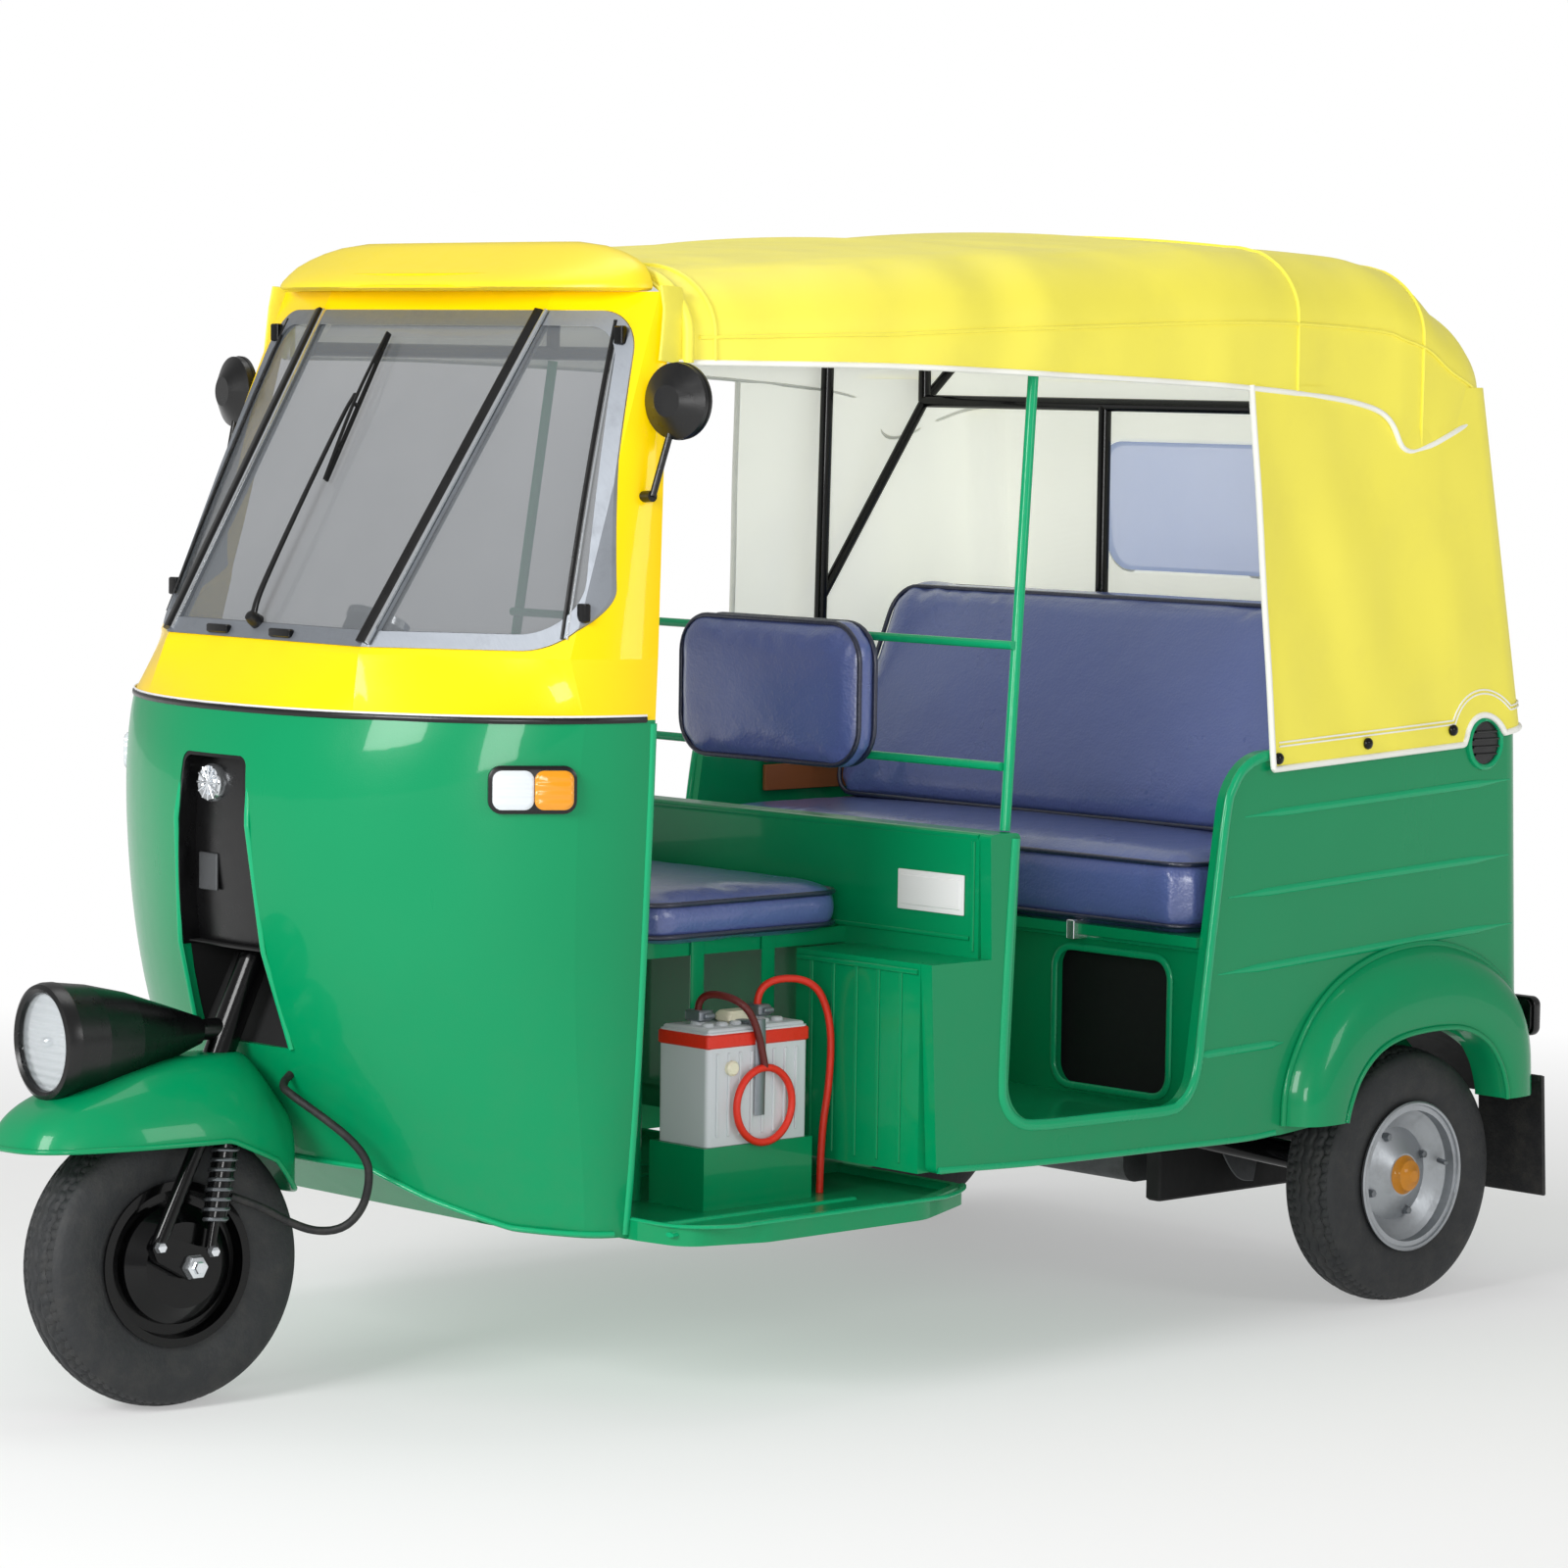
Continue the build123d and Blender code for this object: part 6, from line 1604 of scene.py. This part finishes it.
# ---- steering --------------------------------------------------------------------------------------------
@dataclass
class Steering:
    """Front mudguard, headlamp, springs, controls and the brake hose.

    Attributes:
        sections: the mudguard's height, Y of its front and of its back, and half width.
        lamp: Y and height of the headlamp's face.
    """

    sections: tuple = ((280, -1276, -842, 124), (378, -1274, -842, 122), (430, -1238, -868, 106),
                       (468, -1142, -892, 78), (484, -1064, -904, 56), (490, -1010, -912, 40))
    lamp: tuple = (-1206, 522)

    def mudguard(self) -> None:
        """The mudguard: ovals in plan whose sizes are read off the sections by height, from a hem that
        drops towards the back up to the crown, closed over the top."""
        table = spline(self.sections, 60)
        angle = np.linspace(0, 2 * pi, 120, endpoint=False)
        c, s = np.cos(angle), np.sin(angle)
        x_share, y_share = np.sign(c) * np.abs(c) ** 0.6, np.sign(s) * np.abs(s) ** 0.86
        hem_y = -1059 + 217 * y_share
        hem = np.interp(hem_y, (-1282, -985, -905, -862, -842), (379, 377, 342, 298, 290))
        rise = np.concatenate([np.linspace(0, 1, 44) ** 0.85, [1.0, 1.0, 1.0]])[:, None]
        shrink = np.concatenate([np.ones(44), [0.75, 0.4, 0.05]])[:, None]
        height = hem + (489.5 - hem) * rise
        near, far, half = (np.interp(height, table[:, 0], table[:, k]) for k in (1, 2, 3))
        grid = np.stack([x_share * half * shrink, (near + far) / 2 + y_share * (far - near) / 2 * shrink,
                         height + (1 - shrink) * 1.5], -1)
        skin = sheet_shell(grid, 4.0, True)
        edge = sweep(grid[0], ring(8, 8, 10), (0, 0.2, 1), closed=True)
        made = build("front_fender", AXIS.turned([skin, edge]), 50, 0.01)
        place(made, Body.STEERING, "green_paint", GREEN, stands_for=["front_mudguard"])

    def headlamp(self) -> None:
        """Bezel, silvered dish, bulb and curved glass."""
        at = (0, *self.lamp)
        section = [(0, 68), (7, 69), (11, 74), (8, 80), (0, 82.5), (-12, 82.5), (-12, 68)]
        bezel = lathe(section, at, FORWARD, 72, hollow=True)
        piece("lamp_bezel", AXIS.turned([bezel]), "black_plastic", BLACK_PLASTIC, body=Body.STEERING)
        section = [(-1, 69), (-3, 58), (-5, 40), (-6.4, 20), (-6.8, 0), (-7.5, 0), (-7.5, 69)]
        dish = lathe(section, at, FORWARD, 64)
        bulb = lathe([(-6, 0), (-6, 7), (2, 8), (6, 5), (8, 0)], at, FORWARD, 24)
        piece("lamp_dish", AXIS.turned([dish, bulb]), "rim_metal", CHROME, body=Body.STEERING)
        radius = np.linspace(0, 69, 14)
        face = np.stack([12 * (1 - (radius / 69) ** 2), radius], -1)
        glass = lathe(np.concatenate([face, (face - (1.6, 0))[::-1]]), at, FORWARD, 72)
        piece("lamp_glass", AXIS.turned([glass]), "glass", LAMP_GLASS, body=Body.STEERING,
              stands_for=["headlamp_lens"])

    @staticmethod
    def coil(start: Sequence[float], end: Sequence[float], radius: float, wire: float, turns: float) -> Patch:
        """A coil spring: a point along the line plus the radius times cosine and sine of the turns."""
        start, end = np.array(start, float), np.array(end, float)
        t = np.linspace(0, 1, int(turns * 22))[:, None]
        way = unit(end - start)
        side = unit(np.cross(way, (1.0, 0.0, 0.0)))
        lift = np.cross(way, side)
        turn = t * turns * 2 * pi
        path = start + (end - start) * t + radius * (np.cos(turn) * side + np.sin(turn) * lift)
        return sweep(path, ring(wire, wire, 8), tuple(way))

    @staticmethod
    def beside(grip: Sequence, share: float, off: float) -> Points:
        """A point a share along a grip, stood off in front of it and a little below."""
        return grip[0] + (grip[1] - grip[0]) * share + np.array((0, -off, -off * 0.15))

    def controls(self) -> None:
        """Brake and clutch levers, their clamps, and the dial on the handlebar."""
        pieces = []
        bend, end = AXIS.point(578, 0, 80), AXIS.point(578, 62, 270)
        for sign in (1, -1):
            grip = (bend * (sign, 1, 1), end * (sign, 1, 1))
            places = ((0.36, 14), (0.5, 34), (0.75, 44), (0.97, 40))
            lever = spline([self.beside(grip, *at) for at in places], 30)
            pieces.append(sweep(lever, ring(11, 6, 12, 0.7), UP, taper=np.linspace(1.1, 0.7, 30)))
            pieces.append(rod(self.beside(grip, 0.3, -2), self.beside(grip, 0.38, -2), 17))
            tip = self.beside(grip, 1.0, 0) - np.array((sign * 6, 2, 0))
            pieces.append(lathe([(0, 0), (0, 16.5), (3, 18), (6, 16), (7, 0)], tip, (sign, 0.3, 0), 24))
        piece("handlebar_controls", AXIS.turned(pieces), "black_plastic", BLACK_PLASTIC, body=Body.STEERING)
        top = AXIS.point(638)
        dial = lathe([(0, 0), (1, 40), (3, 44), (1, 47), (-10, 47.5), (-10, 0)], top, tuple(AXIS.way()), 48)
        piece("dial_bezel", AXIS.turned([dial]), "rim_metal", CHROME, body=Body.STEERING)

    def hose(self) -> None:
        """The brake hose from the nose to the wheel."""
        cord = Cord("flexible_brake_hose",
                    ((88, -873.4, 462), (91, -896, 450), (128, -900, 438), (168, -880, 412), (198, -853, 382),
                     (212, -832, 350), (207, -826, 316), (196, -829, 280), (178, -846, 252), (150, -873, 246),
                     (127, -905, 260), (111, -945, 286), (93.5, -980.6, 300)), 6.0)
        line = cord.line()
        made = build(cord.name, [cord.tube(line)], 60)
        made.data.materials.append(material(FLAP))
        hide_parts("brake_hose")
        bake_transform(made)

    def make(self) -> None:
        """Builds and places the pieces."""
        self.mudguard()
        self.headlamp()
        head, foot = np.array((84.0, -965.0, 412.0)), np.array((84.0, -1004.0, 226.0))
        spring = self.coil(head + (foot - head) * 0.14, head + (foot - head) * 0.8, 17.0, 6.0, 9)
        piece("front_spring", AXIS.turned([spring]), "spring_steel", SPRING, body=Body.STEERING)
        shocks = both(self.coil((415, 896, 286), (415, 876, 540), 27.0, 9.0, 8))
        piece("rear_springs", shocks, "spring_steel", SPRING)
        self.controls()
        self.hose()


@dataclass
class Running:
    """Small parts under the body and on the mirrors, and a dull black tray that paints the shade under the
    body.
    """

    def make(self) -> None:
        """Builds and places the pieces."""
        bracket = both(sweep(spline([(318, 800, 300), (318, 830, 250), (318, 870, 196), (318, 905, 186)], 30),
                             ring(40, 5, 12, 0.4), LEFT))
        piece("underbody_brackets", bracket, "cast_metal", CAST)
        fins = [slab((-150, 730 + 16 * k, 500), (150, 735 + 16 * k, 545), 1.5) for k in range(16)]
        piece("engine_fins", fins, "cast_metal", CAST)
        # A dull black tray under the body: painted shade.
        tray = both(slab((268, 700, 150), (300, 1080, 232), 6))
        piece("underbody_painted_shade_tray", tray, "black_plastic", SHADOW)
        turned_in = radians(-10)
        at, way = (500.0, -523.0, 1414.0), (sin(turned_in), cos(turned_in), 0.0)
        faces = both(lathe([(0.5, 0), (1, 48), (-1, 49), (-1, 0)], at, way))
        rims = both(lathe([(0, 49), (2.5, 50), (2.5, 53.5), (-3, 54), (-3, 49)], at, way, hollow=True))
        piece("mirror_glass", faces, "glass", CHROME)
        piece("mirror_rims", rims, "black_plastic", BLACK_PLASTIC)


# ---- studio ------------------------------------------------------------------------------------------------
@dataclass
class Studio:
    """Camera, lamps, world and floor, in metres and degrees.

    Attributes:
        eye: the camera's place.
        azimuth, elevation, roll: its three angles.
        lens: its focal length in millimetres for a sensor 36 mm wide.
    """

    eye: tuple = (5.833, -5.320, 1.462)
    azimuth: float = 46.83
    elevation: float = 4.59
    roll: float = 0.82
    lens: float = 119.05

    @staticmethod
    def stand(made: Any, right: Points, up: Points, back: Points, at: Sequence[float]) -> None:
        """Puts an object at a place with its three axes along these directions."""
        columns = np.column_stack([right, up, back, np.array(at, float)])
        made.matrix_world = Matrix([*columns.tolist(), [0, 0, 0, 1]])

    def camera(self) -> None:
        """Makes the camera from its place and its three angles."""
        az, el, ro = radians(self.azimuth), radians(self.elevation), radians(self.roll)
        way = np.array((-sin(az) * cos(el), cos(az) * cos(el), -sin(el)))
        right = np.array((cos(az), sin(az), 0.0))
        up = np.cross(right, way)
        right, up = right * cos(ro) + up * sin(ro), up * cos(ro) - right * sin(ro)
        data = bpy.data.cameras.new("camera")
        data.lens, data.sensor_width, data.clip_end = self.lens, 36.0, 200.0
        camera = add("camera", data)
        self.stand(camera, right, up, -way, self.eye)
        bpy.context.scene.camera = camera

    def lamp(self, name: str, place_at: Sequence[float], size: float, power: float) -> None:
        """One square soft lamp aimed at the vehicle's middle."""
        data = bpy.data.lights.new(name, "AREA")
        data.size, data.energy, data.shape = size, power, "SQUARE"
        back = unit(np.array(place_at, float) - (0, 0, 0.8))
        right = unit(np.cross((0.0, 0.0, 1.0), back))
        self.stand(add(name, data), right, np.cross(back, right), back, place_at)

    def world(self) -> None:
        """A plain white world: dim as a light and to gloss, and white to the camera and through glass."""
        world = bpy.data.worlds.new("studio")
        world.use_nodes = True
        nodes, links = world.node_tree.nodes, world.node_tree.links
        nodes.clear()
        path, output = nodes.new("ShaderNodeLightPath"), nodes.new("ShaderNodeOutputWorld")
        either = nodes.new("ShaderNodeMath")
        either.operation = "MAXIMUM"
        links.new(path.outputs["Is Camera Ray"], either.inputs[0])
        links.new(path.outputs["Is Transmission Ray"], either.inputs[1])
        mix = nodes.new("ShaderNodeMixShader")
        links.new(either.outputs[0], mix.inputs[0])
        for slot, strength in ((1, 0.42), (2, 1.0)):
            white = nodes.new("ShaderNodeBackground")
            white.inputs[0].default_value, white.inputs[1].default_value = (1, 1, 1, 1), strength
            links.new(white.outputs[0], mix.inputs[slot])
        links.new(mix.outputs[0], output.inputs[0])
        bpy.context.scene.world = world

    def floor(self) -> None:
        """A pale round floor that keeps the shadow near the vehicle and fades to white further out."""
        disc = [(0, 0.0), (0, 2000), (0, 5000), (0, 9000), (0, 60000), (-10, 60000), (-10, 0)]
        floor = build("floor", [lathe(disc, (0, 0, 0), UP, 96)])
        bench = Bench("floor_paper")
        bench.dress(Base_Color=(0.86, 0.86, 0.86, 1), Roughness=0.9, Specular_IOR_Level=0.1)
        reach = bench.make("VectorMath", {0: bench.make("TexCoord", out="Object")}, out="Value",
                           operation="LENGTH")
        fade_from, fade_over = 1.9, 2.2
        fade = ((reach - fade_from) / fade_over).most(0.0).least(1.0)
        paper = bench.make("MixShader", {0: fade * 0.62 + 0.38, 1: Value(bench, bench.shader.outputs[0]),
                                         2: bench.make("Emission")})
        bench.put(bench.output.inputs[0], paper)
        floor.data.materials.append(bench.material)

    def make(self) -> None:
        """Sets the studio up."""
        self.camera()
        self.world()
        self.floor()
        for lamp in (("key", (0.9, -5.8, 3.0), 2.2, 240.0), ("fill", (4.6, -4.4, 1.6), 1.4, 85.0),
                     ("side", (5.8, 1.2, 2.6), 1.6, 44.0), ("top", (-0.6, 0.2, 5.0), 2.6, 46.0)):
            self.lamp(*lamp)
        bpy.context.scene.view_settings.view_transform = "Standard"


PADS = (
    Pad("driver_cushion", "driver_seat", (-338, -433, 637), (338, -14, 699), 26, (3, 3, 9),
        fill=0.7, cap=7, corner=60),
    Pad("driver_back_pad", "driver_backrest", (-87, 2, 866), (319, 47, 1090), 21, (3, 7, 3),
        fill=0.8, front=(1, -1), cap=6, corner=58),
    Pad("passenger_cushion_pad", "passenger_cushion", (-552, 466, 613), (552, 896, 728), 34,
        (3, 4, 10), cap=9),
    Pad("passenger_back_pad", "passenger_backrest", (-518, 726, 737), (518, 816, 1104), 36,
        (3, 10, 4), lean=0.43, fill=0.75, front=(1, -1), cap=9),
)


def main() -> None:
    """Builds the scene in order."""
    logging.basicConfig(level=logging.INFO, format="%(name)s %(message)s")
    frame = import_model()
    Studio().make()
    dress_nodes(frame["nodes"])
    Battery().make()
    Steering().make()
    Cowl().make()
    Windscreen().make()
    Canopy().make()
    Cab().make()
    for pad in PADS:
        pad.make()
    Shellwork().make()
    Wheels().make()
    Running().make()


if __name__ == "__main__":
    main()
